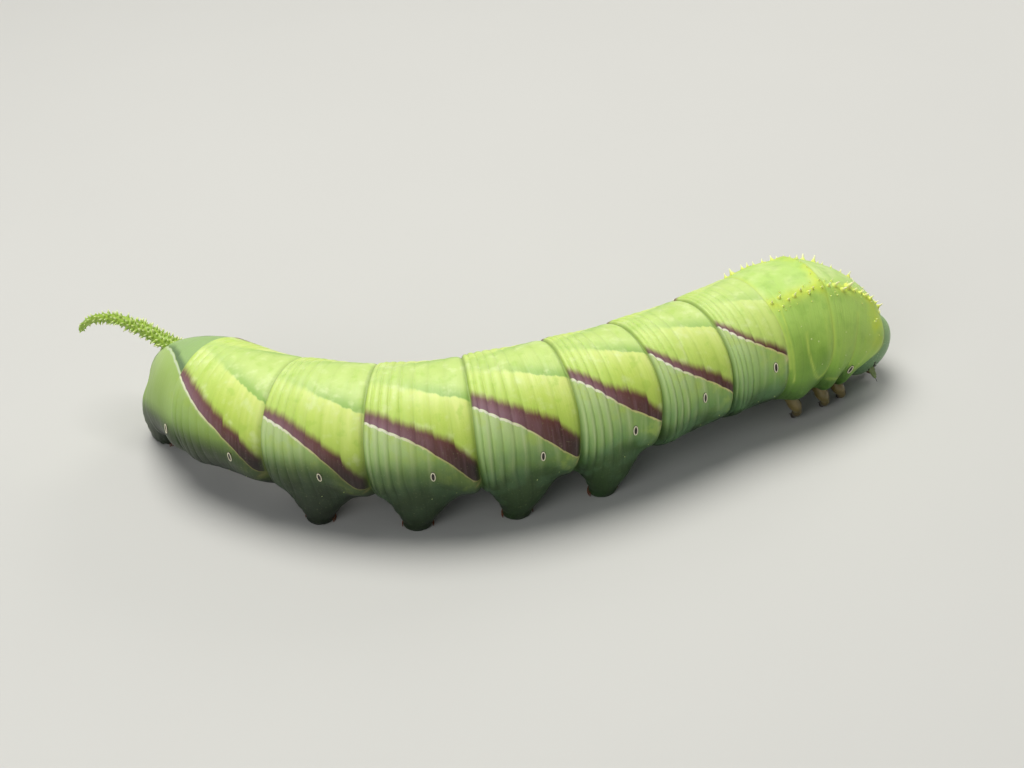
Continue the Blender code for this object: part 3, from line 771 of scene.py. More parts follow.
def skinMaterial():
    material, tree, shader = newMaterial("greenSkin", 0.44, {
        "Subsurface Weight": 0.16, "Subsurface Radius": (0.7, 1.0, 0.25), "Subsurface Scale": 0.6 * mm,
        "Specular IOR Level": 0.42})
    place = objectPlace(tree)
    flow = valueOf(tree, "flow", "Vector")
    side, along, low, high, crest = (valueOf(tree, name) for name in (
        "sideShare", "place", "stripeLow", "stripeHigh", "crest"))
    fine = noise(tree, place, 0.25 * mm, 2.0)
    patches = noise(tree, place, 2.4 * mm, 4.0)
    clouds = noise(tree, place, 1.3 * mm, 3.0)
    rear = span(tree, along, 0.30, 0.85)
    streaks = noise(tree, flow, 1.0, 3.0, (0.30, 3.4, 1.0))
    longStreaks = noise(tree, flow, 1.0, 2.0, (0.16, 1.7, 1.0))

    # The back: pale yellow-green, with green shade above the border and a yellow band below it.
    soft = plus(tree, times(tree, span(tree, along, 0.30, 0.95), 4.5), 0.9)
    border = calc(tree, "DIVIDE", plus(tree, valueOf(tree, "border"), sway(tree, longStreaks, 6.0)), soft)
    shade = times(tree, span(tree, border, -1.0, 1.0), valueOf(tree, "shadeHold"), 0.85)
    glow = times(tree, span(tree, border, 1.0, -1.4), valueOf(tree, "bandHold"))
    band = ramp(tree, plus(tree, valueOf(tree, "bandShare"), sway(tree, longStreaks, 0.9)),
                (0.0, 222, 234, 136), (0.30, 210, 228, 120), (0.62, 200, 222, 102), (1.0, 188, 214, 90))
    band = blendColor(tree, times(tree, rear, 0.5), band, tint(196, 222, 124))
    back = cover(
        tree, blendColor(tree, patches, tint(188, 214, 116), tint(208, 228, 140)),
        (shade, tint(142, 184, 84)), (glow, band),
        (times(tree, span(tree, clouds, 0.52, 0.74), 0.50), tint(226, 238, 172)),
        (times(tree, span(tree, clouds, 0.44, 0.28), 0.34), tint(164, 204, 70)))

    # The flank, from the pale skin under the stripe to dark green at the belly; the dark belly end is partly
    # the skin's own darker green and partly painted shade.
    flank = ramp(tree, side, (0.10, 200, 220, 138), (0.34, 184, 212, 128), (0.45, 170, 204, 114),
                 (0.53, 128, 168, 80), (0.61, 62, 98, 34), (0.72, 32, 54, 20), (1.0, 40, 62, 28))
    paleStreak = times(tree, span(tree, streaks, 0.46, 0.70), span(tree, side, 0.64, 0.34),
                       plus(tree, times(tree, rear, 0.55), 0.20))
    yellow = times(tree, span(tree, clouds, 0.46, 0.66), span(tree, low, -3.4, -0.3), 0.55)
    cool = times(tree, span(tree, patches, 0.60, 0.38), span(tree, side, 0.40, 0.54), 0.30)
    thin = times(tree, valueOf(tree, "crestLine"), span(tree, side, 0.66, 0.44),
                 span(tree, longStreaks, 0.36, 0.60), 0.62)
    flank = cover(
        tree, flank, (paleStreak, tint(186, 210, 124)),
        # Painted highlight on the annulet crests of the rear flank.
        (times(tree, crest, rear, span(tree, side, 0.68, 0.46), 0.38), tint(170, 200, 140)),
        (times(tree, span(tree, low, -2.6, -0.05), 0.60),
         blendColor(tree, rear, tint(148, 180, 88), tint(198, 214, 150))),
        (yellow, tint(184, 208, 92)), (cool, tint(104, 150, 104)), (thin, tint(204, 220, 160)))

    # The oblique stripe and the cream line along its lower edge.
    upper = span(tree, plus(tree, high, sway(tree, streaks, 0.5)), -0.42, 0.44)
    inStripe = times(tree, span(tree, low, -0.02, 0.05), upper, valueOf(tree, "stripeHold"))
    maroon = ramp(tree, along, (0.0, 50, 28, 22), (0.20, 82, 46, 38), (0.40, 110, 72, 68), (0.60, 128, 92, 98),
                  (0.85, 146, 112, 122), (1.0, 134, 106, 112))
    maroon = cover(tree, maroon, (times(tree, span(tree, streaks, 0.40, 0.72), 0.30), tint(152, 116, 128)),
                   (times(tree, span(tree, high, 1.1, 0.0), 0.62), tint(112, 62, 44)))
    ragged = plus(tree, low, sway(tree, streaks, 0.36), times(tree, rear, 0.07))
    line = times(tree, span(tree, ragged, -0.19, -0.06), span(tree, low, 0.05, -0.01),
                 valueOf(tree, "lineHold"))
    cream = blendColor(tree, rear, tint(214, 208, 136), tint(236, 236, 208))

    # The thorax is plain yellow-green, yellow along its rows of knobs and pale along its folds; its darkening
    # toward the belly is partly its own darker green and partly painted shade.
    thorax = ramp(tree, side, (0.0, 190, 222, 118), (0.20, 180, 214, 106), (0.34, 176, 210, 100),
                  (0.46, 174, 210, 90), (0.56, 144, 188, 66), (0.66, 80, 118, 38), (0.80, 52, 82, 30),
                  (1.0, 56, 86, 36))
    thorax = cover(
        tree, thorax,
        (times(tree, span(tree, patches, 0.42, 0.66), span(tree, side, 0.26, 0.10), 0.65), tint(214, 232, 152)),
        (times(tree, span(tree, clouds, 0.45, 0.72), 0.24), tint(118, 168, 54)),
        (valueOf(tree, "pouch"), tint(104, 148, 44)),
        (times(tree, valueOf(tree, "fold"), plus(tree, patches, 0.30)), tint(200, 222, 96)),
        (times(tree, valueOf(tree, "rowGlow"), span(tree, patches, 0.30, 0.62)), tint(206, 222, 56)))

    # Rump, prolegs and the shaded furrows.
    rump = times(tree, span(tree, low, -0.02, 0.14), valueOf(tree, "patchHold"))
    rumpSide = times(tree, span(tree, low, 0.02, -0.45), valueOf(tree, "sideHold"))
    # The rump's side darkens toward the belly, partly its own colour and partly painted shade.
    rumpGreen = ramp(tree, side, (0.10, 176, 202, 122), (0.30, 154, 184, 84), (0.46, 134, 168, 60),
                     (0.56, 78, 110, 36), (0.66, 42, 68, 22))
    skin = cover(
        tree, blendColor(tree, span(tree, low, 0.04, -0.04), back, flank),
        (inStripe, maroon), (line, cream), (valueOf(tree, "creamDot"), tint(232, 224, 160)),
        (valueOf(tree, "thorax"), thorax), (rump, tint(152, 184, 118)), (rumpSide, rumpGreen),
        (valueOf(tree, "rim"), tint(150, 182, 54)),
        # The prolegs' dark green is partly their own colour and partly painted shade.
        (valueOf(tree, "foot"), blendColor(tree, patches, tint(30, 52, 22), tint(54, 82, 36))))
    # Painted shade: the low flank toward the tail and the rear end's sides are darkened.
    skin = blendColor(tree, valueOf(tree, "paintedShade"), skin, tint(126, 128, 104), "MULTIPLY")
    tailHold = times(tree, valueOf(tree, "tailHold"), 0.78)
    tailBand = times(tree, span(tree, low, -0.05, 0.12), span(tree, high, -0.30, 0.30), tailHold)
    tailLine = times(tree, span(tree, low, -0.30, -0.12), span(tree, low, 0.05, -0.03), tailHold)
    skin = cover(tree, skin, (tailBand, tint(86, 108, 82)), (tailLine, tint(212, 222, 196)))
    # Painted shade darkens the creases between annulets.
    grooveShade = times(tree, calc(tree, "SUBTRACT", 1.0, crest),
                   plus(tree, times(tree, span(tree, side, 0.2, 0.45), 0.08), 0.08))
    skin = blendColor(tree, grooveShade, skin, tint(146, 176, 70), "MULTIPLY")
    skin = cover(tree, skin, (times(tree, valueOf(tree, "furrow"), 0.50), tint(84, 112, 44)),
                 (times(tree, span(tree, fine, 0.60, 0.80), 0.10), tint(220, 234, 160)))
    tree.links.new(skin, shader.inputs["Base Color"])
    tree.links.new(plus(tree, times(tree, patches, 0.20), 0.36), shader.inputs["Roughness"])
    grain = bump(tree, cells(tree, place, 0.20 * mm), 0.14, 0.05)
    tree.links.new(bump(tree, streaks, 0.30, 0.12, grain), shader.inputs["Normal"])
    return material


def makeSkin():
    rng = random.Random(skinShape["seed"])
    table = ringTable()
    number, place, share, middlePlace = (table[:, column][:, None] for column in range(4))
    columns = skinShape["columns"]
    angle = (-180 + 360 * (np.arange(columns) + 0.5) / columns)[None, :]
    side = np.abs(angle)
    length = rowTable[number.astype(int), 0]
    run = starts[number.astype(int)] + place * length
    calm = smoothStep(0, skinShape["calmFront"], run)
    calm = calm * smoothStep(starts[-1], starts[-1] - skinShape["calmRear"], run)
    out = reliefAt(number, place, share, angle) + waves(rng, run, angle, skinShape["unevenness"]) * calm
    wavyRun = run + waves(rng, run * 1.7, angle, skinShape["wobble"]) * calm
    points = bodyPoint(wavyRun, angle, out)
    hood = sum(size * bell((side - middle) / wide) for middle, wide, size in skinShape["hoods"])
    hood = hood * smoothStep(skinShape["hoodReach"], 0.0, run)
    points = points + hood[..., None] * forwardAt(run)
    foot = np.zeros(points.shape[:2])
    for sideSign in (-1, 1):
        for segment in prolegShape["segments"].values():
            foot = np.maximum(foot, pullFoot(points, run, angle, sideSign, prolegShape, segment))
        foot = np.maximum(foot, pullFoot(points, run, angle, sideSign, analProlegShape, "anal_segment"))
    points[..., 2] = np.maximum(points[..., 2], 0.0)

    # In front, the skin rolls in round the head as a collar.
    middle, forward = centreAt(0.0), forwardAt(0.0)
    collar = [middle + (points[0] - middle) * scale + forward * ahead for ahead, scale in skinShape["collar"]]
    vertices, faces = closedTube(np.concatenate([np.array(collar), points]))
    skin = buildPiece("skin", vertices, faces, skinMaterial())

    def spread(values):
        # Values of the rings, copied to the collar and the two end points.
        values = np.broadcast_to(values, points.shape[:2])
        whole = np.concatenate([np.repeat(values[:1], len(collar), 0), values])
        return np.concatenate([whole.ravel(), [whole[0, 0], whole[-1, 0]]])

    onThorax3, beforeTail, onTail, onEnd = (
        number == numberOf[name] for name in ("thorax_3", "abdomen_7", "abdomen_8", "anal_segment"))
    low, high, border, bandHold, shadeHold, bandShare = markings(number, place, side, middlePlace)
    edge = np.minimum(place, 1 - place) * length
    cushion = np.sin(math.pi * share) ** skinShape["cushion"]
    low = low + (0.10 * (1 - cushion) - 0.05) * (np.abs(low) < 2)
    rowGlow = bell((side - rowAngle(run)) / 6.0) * smoothStep(starts[3] + 2.5, starts[3] - 0.5, run)
    rowGlow = rowGlow * (0.65 + 0.35 * bell(edge / 0.9))
    ridge = bell((place - ridgeFold["place"]) / 0.10) * smoothStep(42, 30, side) * onThorax3
    collarGlow = bell((run - 1.0) / 1.3) * smoothStep(95, 50, side) * markStrength["collar"]
    sideHold = (onTail * smoothStep(-0.1, 0.3, place) + onEnd) * markStrength["rumpSide"]
    sideHold = sideHold + beforeTail * markStrength["beforeRump"] * smoothStep(-0.2, 0.6, place)
    # Painted shade low on the flank toward the tail, and on the rear end's sides.
    paintedShade = smoothStep(0.38, 0.55, side / 180) * bySegment("paintedShade", number)
    paintedShade = np.maximum(paintedShade, markStrength["rearShade"] * (onTail + onEnd) * smoothStep(0.12, 0.34, side / 180))
    dotAt = np.zeros(low.shape)
    for name, (edges, _) in stripeRows.items():
        if name == "abdomen_8":
            continue
        apart = np.hypot((place - 0.02) * length, (side - edges[0] - 1) * arcOfDegree)
        dotAt = np.where(number == numberOf[name], bell(apart / 0.30) * markStrength["dot"], dotAt)
    folds = np.zeros(low.shape)
    for halfWidth, strength, spots in thoraxLines:
        folds = np.maximum(folds, strength * lineShare(run, side, halfWidth, spots))
    pouchRun, pouchArc = flatSpot(*pouch["at"])
    pouchRise = (side * arcOfDegree - pouchArc) / pouch["tall"]
    inPouch = bell(np.hypot((run - pouchRun) / pouch["long"], pouchRise) ** 2)
    rearSide = markStrength["thoraxRear"] * onThorax3 * bell((place - 0.58) / 0.34) * bell((side - 90) / 26)
    # Painted shade in the creases between annulets, weaker on the front half below the stripe.
    grooveShade = (1 - cushion) * bySegment("grooveShade", number)
    grooveShade = grooveShade * (1 - 0.8 * smoothStep(0.62, 0.35, place) * smoothStep(-0.2, -1.2, low))
    values = {
        "place": place, "sideShare": side / 180, "stripeLow": low, "stripeHigh": high, "border": border,
        "bandHold": bandHold, "shadeHold": shadeHold, "bandShare": bandShare, "crest": 1 - grooveShade, "paintedShade": paintedShade,
        "stripeHold": smoothStep(0.0, 0.12, edge) * (1 - onTail),
        "lineHold": smoothStep(0.05, 0.2, edge) * (number >= numberOf["abdomen_1"]) * (1 - onTail - onEnd),
        "crestLine": bell((share - 0.36) / 0.17) * bySegment("crestLine", number),
        "furrow": bell(edge / 0.17) * seamDepth(number, place) ** 2,
        "thorax": smoothStep(starts[3] + 0.15, starts[3] - 0.15, run),
        "rowGlow": np.clip(rowGlow + ridge * markStrength["ridge"] + collarGlow, 0, markStrength["rowMost"]),
        "creamDot": np.clip(dotAt, 0, 1), "fold": folds,
        "pouch": np.maximum(inPouch * markStrength["pouch"], rearSide),
        "patchHold": onTail * markStrength["rumpPatch"], "sideHold": sideHold,
        "tailHold": onTail * smoothStep(0.98, 0.55, place), "foot": foot * markStrength["foot"],
        "rim": onEnd * smoothStep(0.20, 0.60, place) * smoothStep(120, 80, side) * markStrength["rim"],
    }
    for name, value in values.items():
        setAttribute(skin, name, spread(value))
    flow = np.stack(np.broadcast_arrays(angle * 0.12, run, np.zeros_like(run)), -1)
    flow = np.concatenate([np.repeat(flow[:1], len(collar), 0), flow]).reshape(-1, 3)
    setAttribute(skin, "flow", np.concatenate([flow, flow[:1], flow[-1:]]))
    return skin


skin = makeSkin()
print("skin done:", len(skin.data.polygons), "faces")
fleshNodes = segmentNames + ["anal_proleg_left", "anal_proleg_right"]
fleshNodes += [f"proleg_{number}_{word}" for number in prolegShape["segments"] for word in ("left", "right")]
finishPiece(skin, "body_skin", *fleshNodes)


skinTree = BVHTree.FromObject(skin, bpy.context.evaluated_depsgraph_get())


def surfaceSpot(name, place, angle, lift=0.0):
    # A point on the finished skin, with its outward normal and the way round the body.
    number = numberOf[name]
    run = np.array(starts[number] + place * rowTable[number, 0])
    plain, normal, around = surfaceFrame(run, np.array(float(angle)))
    hit = skinTree.ray_cast(Vector((plain + normal * 3) * mm), Vector(-normal))
    if not hit[0]:
        return plain + normal * lift, normal, around
    normal = np.array(hit[1]) * (1 if np.dot(hit[1], normal) > 0 else -1)
    around = around - normal * np.dot(around, normal)
    return np.array(hit[0]) / mm + normal * lift, normal, around / np.linalg.norm(around)


# Thorn shape shared by the horn and the thorax, and the spread of the thorns' sizes
thornSpread = (0.78, 1.22)


def makeThornShape(name, rings, sides, lean=0.12):
    # Rings are (height, radius) as shares of the thorn's length; the root is sunk below zero.
    turn = ringTurns(sides)
    loops = []
    for height, radius in rings:
        loops.append(np.stack([np.cos(turn) * radius + lean * max(height, 0) ** 2, np.sin(turn) * radius,
                               np.full(sides, height)], -1))
    points, faces = closedTube(loops)
    shape = buildPiece(name, points / mm, faces, None)
    setAttribute(shape, "tip", np.clip(points[:, 2], 0, 1))
    return shape


def thornTree(name, inputs, onFaces, thorn, material):
    # Thorns along the "way" of each point and as tall as its "rise", or spread over the faces of a
    # piece, where they lean along the way and the piece stays.
    tree, sockets, start, end = newTree(name, inputs)
    geometry = start.outputs["Geometry"]
    way = namedValue(tree, "way", "FLOAT_VECTOR")
    points = geometry
    if onFaces:
        spread = addNode(tree, "GeometryNodeDistributePointsOnFaces", {
            "Mesh": geometry, "Distance Min": start.outputs["Spacing"],
            "Density Max": start.outputs["Density"], "Seed": start.outputs["Seed"]},
            distribute_method="POISSON")
        points, normal = spread.outputs["Points"], spread.outputs["Normal"]
        lean = addNode(tree, "ShaderNodeVectorMath", {0: way}, operation="SCALE")
        tree.links.new(start.outputs["Lean"], lean.inputs["Scale"])
        leaning = addNode(tree, "ShaderNodeVectorMath", {0: normal, 1: lean.outputs[0]}, operation="ADD")
        way = leaning.outputs[0]
    turn = addNode(tree, "FunctionNodeAlignRotationToVector", {"Vector": way}, axis="Z")
    jitter = addNode(tree, "FunctionNodeRandomValue", data_type="FLOAT")
    jitter.inputs[2].default_value, jitter.inputs[3].default_value = thornSpread
    tree.links.new(start.outputs["Seed"], jitter.inputs["Seed"])
    size = namedValue(tree, "rise")
    for factor in (jitter.outputs[1], start.outputs["Length"]):
        size = addNode(tree, "ShaderNodeMath", {0: size, 1: factor}, operation="MULTIPLY").outputs[0]
    shape = addNode(tree, "GeometryNodeObjectInfo", {"Object": thorn})
    placed = addNode(tree, "GeometryNodeInstanceOnPoints", {
        "Points": points, "Instance": shape.outputs["Geometry"], "Rotation": turn.outputs[0],
        "Scale": size})
    result = placed.outputs[0]
    if onFaces:
        join = addNode(tree, "GeometryNodeJoinGeometry")
        tree.links.new(geometry, join.inputs[0])
        tree.links.new(result, join.inputs[0])
        result = join.outputs[0]
    endTree(tree, result, material, end)
    return tree, sockets


def thornMaterial(name, root, tip, deep):
    material, tree, shader = newMaterial(name, 0.46, {
        "Subsurface Weight": 0.15, "Subsurface Radius": (0.6, 0.9, 0.2), "Subsurface Scale": 0.4 * mm})
    place = objectPlace(tree)
    patches = noise(tree, place, 0.6 * mm, 3.0)
    base = blendColor(tree, patches, deep, root)
    color = blendColor(tree, span(tree, valueOf(tree, "tip"), 0.12, 0.8), base, tip)
    tree.links.new(color, shader.inputs["Base Color"])
    tree.links.new(bump(tree, cells(tree, place, 0.14 * mm), 0.25, 0.04), shader.inputs["Normal"])
    return material


# Horn of the tail
hornShape = {
    "length": 13.9, "heading": -31, "pitchAtRoot": 18.5, "pitchAtTip": -52.5, "bend": 1.9, "place": 0.85,
    "radiusAtRoot": 0.72, "radiusAtTip": 0.32, "steps": 72, "sides": 22, "unevenness": 0.04,
    "thornLength": 0.52, "spacing": 0.42, "density": 3.0e7, "lean": 0.30, "seed": 5, "skinSeed": 8,
    # Height and radius of one thorn, as shares of its length.
    "thornRings": ((-0.20, 0.40), (0.04, 0.36), (0.30, 0.25), (0.62, 0.16), (0.92, 0.07)), "thornSides": 6,
}


def hornPath():
    shape = hornShape
    number = numberOf["abdomen_8"]
    run = starts[number] + 0.15 + shape["place"] * (rowTable[number, 0] - 0.3)
    relief = reliefAt(np.array(float(number)), np.array(shape["place"]), np.array(0.5), np.array(0.0))
    spot = bodyPoint(run, 0.0, relief - 0.1)
    heading = math.radians(shape["heading"])
    shares = np.linspace(0, 1, shape["steps"])
    turned = shape["pitchAtTip"] - shape["pitchAtRoot"]
    pitch = np.radians(shape["pitchAtRoot"] + turned * shares ** shape["bend"])
    back = -np.cos(pitch)
    ways = np.stack([back * math.cos(heading), back * math.sin(heading), np.sin(pitch)], -1)
    steps = ways * shape["length"] / (shape["steps"] - 1)
    points = spot + np.cumsum(steps, axis=0) - steps[0]
    return points, ways, shares


def makeHorn():
    points, ways, shares = hornPath()
    shape = hornShape
    sunk = np.array([points[0] - ways[0] * depth for depth in (2.2, 1.4, 0.7)])
    path = np.concatenate([sunk, points, [points[-1] + ways[-1] * 0.16, points[-1] + ways[-1] * 0.26]])
    radii = shape["radiusAtRoot"] + (shape["radiusAtTip"] - shape["radiusAtRoot"]) * shares
    radii = radii + 0.16 * bell(shares / 0.06)
    radii = np.concatenate([[0.76, 0.82, 0.87], radii, [0.24, 0.11]])
    rings = tubeRings(path, radii, shape["sides"])
    rng = random.Random(shape["skinSeed"])
    turn = ringTurns(shape["sides"])[None, :]
    walk = np.arange(len(path))[:, None] * 0.18
    uneven = sum(rng.uniform(0.5, 1) * np.sin(waves * turn + walk * rng.uniform(2, 9) + rng.uniform(0, 6))
                 for waves in (2, 3, 5))
    centre = path[:, None]
    rings = centre + (rings - centre) * (1 + shape["unevenness"] * uneven)[..., None]
    vertices, faces = closedTube(rings)
    material = thornMaterial("hornSkin", tint(170, 196, 74), tint(232, 240, 176), tint(130, 166, 52))
    core = buildPiece("hornCore", vertices, faces, material)
    wayOf = np.concatenate([np.repeat(ways[:1], 3, 0), ways, np.repeat(ways[-1:], 2, 0)])
    wayOf = np.repeat(wayOf, shape["sides"], 0)
    setAttribute(core, "way", np.concatenate([wayOf, ways[:1], ways[-1:]]))
    shareOf = np.repeat(np.concatenate([[0, 0, 0], shares, [1, 1]]), shape["sides"])
    rise = np.concatenate([0.75 + 0.35 * bell((shareOf - 0.35) / 0.35) - 0.25 * shareOf, [0.7, 0.5]])
    setAttribute(core, "rise", rise)
    setAttribute(core, "tip", np.zeros(len(vertices)))
    thorn = makeThornShape("hornThorn", shape["thornRings"], shape["thornSides"])
    sizes = {"Length": shape["thornLength"] * mm, "Spacing": shape["spacing"] * mm, "Density": shape["density"],
             "Lean": shape["lean"], "Seed": shape["seed"]}
    tree, sockets = thornTree("hornThorns", sizes, True, thorn, material)
    return growPiece("hornWithThorns", core, tree, sockets, sizes, material, thorn)


horn = makeHorn()
finishPiece(horn, "horn_skin", "horn")
print("horn done:", len(horn.data.polygons), "faces")


# Knobs in two rows on the thorax, and the ridge's own
knobShape = {
    "spacing": 0.74, "rise": 0.56, "tall": 0.98, "scatter": 2.6, "seed": 12, "minorShare": 0.42,
    "ridgeKnobs": 7, "ridgeAngle": 27, "ridgeRise": 0.22, "collarKnobs": 5, "collarRise": 0.20,
    # Height and radius of one knob, as shares of its length.
    "rings": ((-0.30, 0.50), (0.02, 0.42), (0.20, 0.27), (0.50, 0.15), (0.80, 0.09), (0.97, 0.04)), "sides": 8,
}


def makeKnobs():
    rng = random.Random(knobShape["seed"])
    roots, ways, rises = [], [], []

    def addKnob(name, place, angle, rise):
        spot, normal, _ = surfaceSpot(name, place, angle)
        roots.append(spot)
        ways.append(normal + np.array([rng.uniform(-0.15, 0.15) for _ in range(3)]))
        rises.append(rise)

    for name in segmentNames[:3]:
        number = numberOf[name]
        length = rowTable[number, 0]
        count = round(length / knobShape["spacing"])
        for sideSign in (-1, 1):
            for step in range(count):
                place = (step + 0.5) / count
                angle = float(rowAngle(starts[number] + place * length))
                tall = name == "thorax_2" and step in (1, 2)
                rise = (knobShape["tall"] if tall else knobShape["rise"]) * rng.uniform(0.65, 1.25)
                near = place + rng.uniform(-0.03, 0.03)
                turned = sideSign * (angle + rng.uniform(-1, 1) * knobShape["scatter"])
                addKnob(name, near, turned, rise)
                for offset in (-5.5, 4.5, 8.5):
                    if rng.random() < 0.5:
                        spread = angle + offset + rng.uniform(-1.5, 1.5)
                        addKnob(name, place + rng.uniform(-0.05, 0.05), sideSign * spread,
                                rise * knobShape["minorShare"] * rng.uniform(0.6, 1.1))
    for step in range(knobShape["ridgeKnobs"]):
        angle = knobShape["ridgeAngle"] * (2 * step / (knobShape["ridgeKnobs"] - 1) - 1)
        near = ridgeFold["place"] + rng.uniform(-0.03, 0.03)
        addKnob("thorax_3", near, angle, knobShape["ridgeRise"] * rng.uniform(0.8, 1.3))
    # A short arc of knobs stands behind the collar.
    for sideSign in (-1, 1):
        for step in range(knobShape["collarKnobs"]):
            angle = 24 + 9 * step + rng.uniform(-3, 3)
            near = rng.uniform(0.08, 0.34)
            addKnob("thorax_1", near, sideSign * angle, knobShape["collarRise"] * rng.uniform(0.7, 1.3))
    material = thornMaterial("knobSkin", tint(232, 242, 116), tint(250, 250, 200), tint(220, 234, 92))
    base = buildPiece("knobRoots", np.array(roots), [], material, recalc=False)
    setAttribute(base, "way", ways)
    setAttribute(base, "rise", rises)
    thorn = makeThornShape("knobThorn", knobShape["rings"], knobShape["sides"], 0.06)
    sizes = {"Length": mm, "Seed": knobShape["seed"]}
    tree, sockets = thornTree("thoraxKnobs", sizes, False, thorn, material)
    return growPiece("thoraxKnobs", base, tree, sockets, sizes, material, thorn)


knobs = makeKnobs()
finishPiece(knobs, "thorax_skin")
print("knobs done:", len(knobs.data.polygons), "faces")


# Small white dots of the skin, on the thorax and along the flank
dotShape = {"radius": 0.085, "rise": 0.05, "sides": 10, "seed": 3}
dotPlaces = (
    ("thorax_3", 0.47, 72), ("thorax_3", 0.33, 75), ("thorax_3", 0.27, 94), ("thorax_3", 0.62, 60),
    ("thorax_2", 0.50, 70), ("thorax_2", 0.42, 90), ("thorax_2", 0.60, 104), ("thorax_1", 0.5, 66),
    ("thorax_1", 0.45, 84), ("thorax_1", 0.55, 100),
)


def makeDots():
    parts = []
    rng = random.Random(dotShape["seed"])
    turn = ringTurns(dotShape["sides"])
    places = list(dotPlaces)
    for name in segmentNames[3:11]:
        for place, angle in ((0.22, 118), (0.45, 124)):
            places.append((name, place + rng.uniform(-0.03, 0.03), angle + rng.uniform(-3, 3)))
    for name, place, angle in places:
        for sideSign in (-1, 1):
            spot, normal, around = surfaceSpot(name, place, angle * sideSign)
            other = np.cross(normal, around)
            size = dotShape["radius"] * rng.uniform(0.8, 1.15) * (1 if name.startswith("thorax") else 0.62)
            loops = []
            for height, wide in ((-0.10, 1.1), (0.0, 1.0), (0.030, 0.80), (dotShape["rise"], 0.35)):
                ring = np.cos(turn)[:, None] * around + np.sin(turn)[:, None] * other
                loops.append(spot + ring * size * wide + normal * height)
            parts.append(closedTube(loops))
    points, faces = mergeParts(parts)
    material = patchyMaterial("dotWhite", 0.4, 0.1, tint(186, 210, 116), tint(216, 230, 156))
    return buildPiece("skinDots", points, faces, material)


dots = makeDots()
finishPiece(dots, "body_skin")


# Spiracles: a cream oval ring round a dark slit on each side of nine segments
spiracleShape = {
    "halfTall": 0.50, "halfWide": 0.20, "thickness": 0.052, "sides": 10, "corners": 36, "slitSides": 28,
    # Height, share of the ring and width of the thin dark brim that lies outside it.
    "slitRings": ((-0.20, 0.9, 0.06), (0.0, 1.0, 0.085), (0.035, 1.0, 0.06), (0.06, 0.8, 0.0),
                  (0.06, 0.5, 0.0), (0.045, 0.2, 0.0)),
    # Place along the segment and angle from the back.
    "places": {
        "thorax_1": (0.80, 110), "abdomen_1": (0.25, 86), "abdomen_2": (0.45, 90), "abdomen_3": (0.38, 96),
        "abdomen_4": (0.40, 95), "abdomen_5": (0.41, 97), "abdomen_6": (0.43, 100), "abdomen_7": (0.32, 95),
        "abdomen_8": (0.15, 93)},
}


def spiracleTree(inputs, material):
    # A point that carries its normal and its tall axis gets an oval ring.
    tree, sockets, start, end = newTree("spiracleRings", inputs)
    circle = addNode(tree, "GeometryNodeCurvePrimitiveCircle", {"Resolution": start.outputs["Corners"]})
    circle.inputs["Radius"].default_value = 1.0
    stretch = addNode(tree, "ShaderNodeCombineXYZ", {
        0: start.outputs["Half wide"], 1: start.outputs["Half tall"], 2: 1.0})
    oval = addNode(tree, "GeometryNodeTransform", {"Geometry": circle.outputs[0], "Scale": stretch.outputs[0]})
    profile = addNode(tree, "GeometryNodeCurvePrimitiveCircle", {
        "Resolution": start.outputs["Sides"], "Radius": start.outputs["Thickness"]})
    ring = addNode(tree, "GeometryNodeCurveToMesh", {
        "Curve": oval.outputs[0], "Profile Curve": profile.outputs[0]})
    turn = addNode(tree, "FunctionNodeAxesToRotation", {
        "Primary Axis": namedValue(tree, "outward", "FLOAT_VECTOR"),
        "Secondary Axis": namedValue(tree, "tall", "FLOAT_VECTOR")}, primary_axis="Z", secondary_axis="Y")
    placed = addNode(tree, "GeometryNodeInstanceOnPoints", {
        "Points": start.outputs["Geometry"], "Instance": ring.outputs[0], "Rotation": turn.outputs[0]})
    endTree(tree, placed.outputs[0], material, end)
    return tree, sockets


def makeSpiracles():
    shape = spiracleShape
    cream = patchyMaterial("spiracleCream", 0.42, 0.12, tint(226, 216, 176), tint(246, 242, 218))
    dark = patchyMaterial("spiracleSlit", 0.30, 0.10, tint(12, 10, 8), tint(52, 38, 28))
    roots, normals, talls, slits = [], [], [], []
    turn = ringTurns(shape["slitSides"])[:, None]
    for name, (place, angle) in shape["places"].items():
        for sideSign in (-1, 1):
            spot, normal, around = surfaceSpot(name, place, angle * sideSign)
            wide = np.cross(around, normal)
            roots.append(spot + normal * 0.05)
            normals.append(normal)
            talls.append(around)
            loops = []
            for height, size, brim in shape["slitRings"]:
                tall = (shape["halfTall"] * size + brim) * np.sin(turn)
                flat = (shape["halfWide"] * size + brim) * np.cos(turn)
                loops.append(spot + wide * flat + around * tall + normal * height)
            slits.append(closedTube(loops))
    base = buildPiece("spiraclePoints", np.array(roots), [], cream, recalc=False)
    setAttribute(base, "outward", normals)
    setAttribute(base, "tall", talls)
    sizes = {"Half tall": shape["halfTall"] * mm, "Half wide": shape["halfWide"] * mm,
             "Thickness": shape["thickness"] * mm, "Corners": shape["corners"], "Sides": shape["sides"]}
    tree, sockets = spiracleTree(sizes, cream)
    rings = growPiece("spiracleRings", base, tree, sockets, sizes, cream)
    points, faces = mergeParts(slits)
    return rings, buildPiece("spiracleSlits", points, faces, dark)


spiracleRings, spiracleSlits = makeSpiracles()
finishPiece(spiracleRings, "body_skin")
finishPiece(spiracleSlits, "body_skin")
print("spiracles done:", len(spiracleShape["places"]) * 2)


# Crochets: the hooks round the inner edge of each sole
crochetShape = {"count": 26, "analCount": 34, "length": 0.34, "reach": 0.20, "radius": 0.045, "arc": 210}


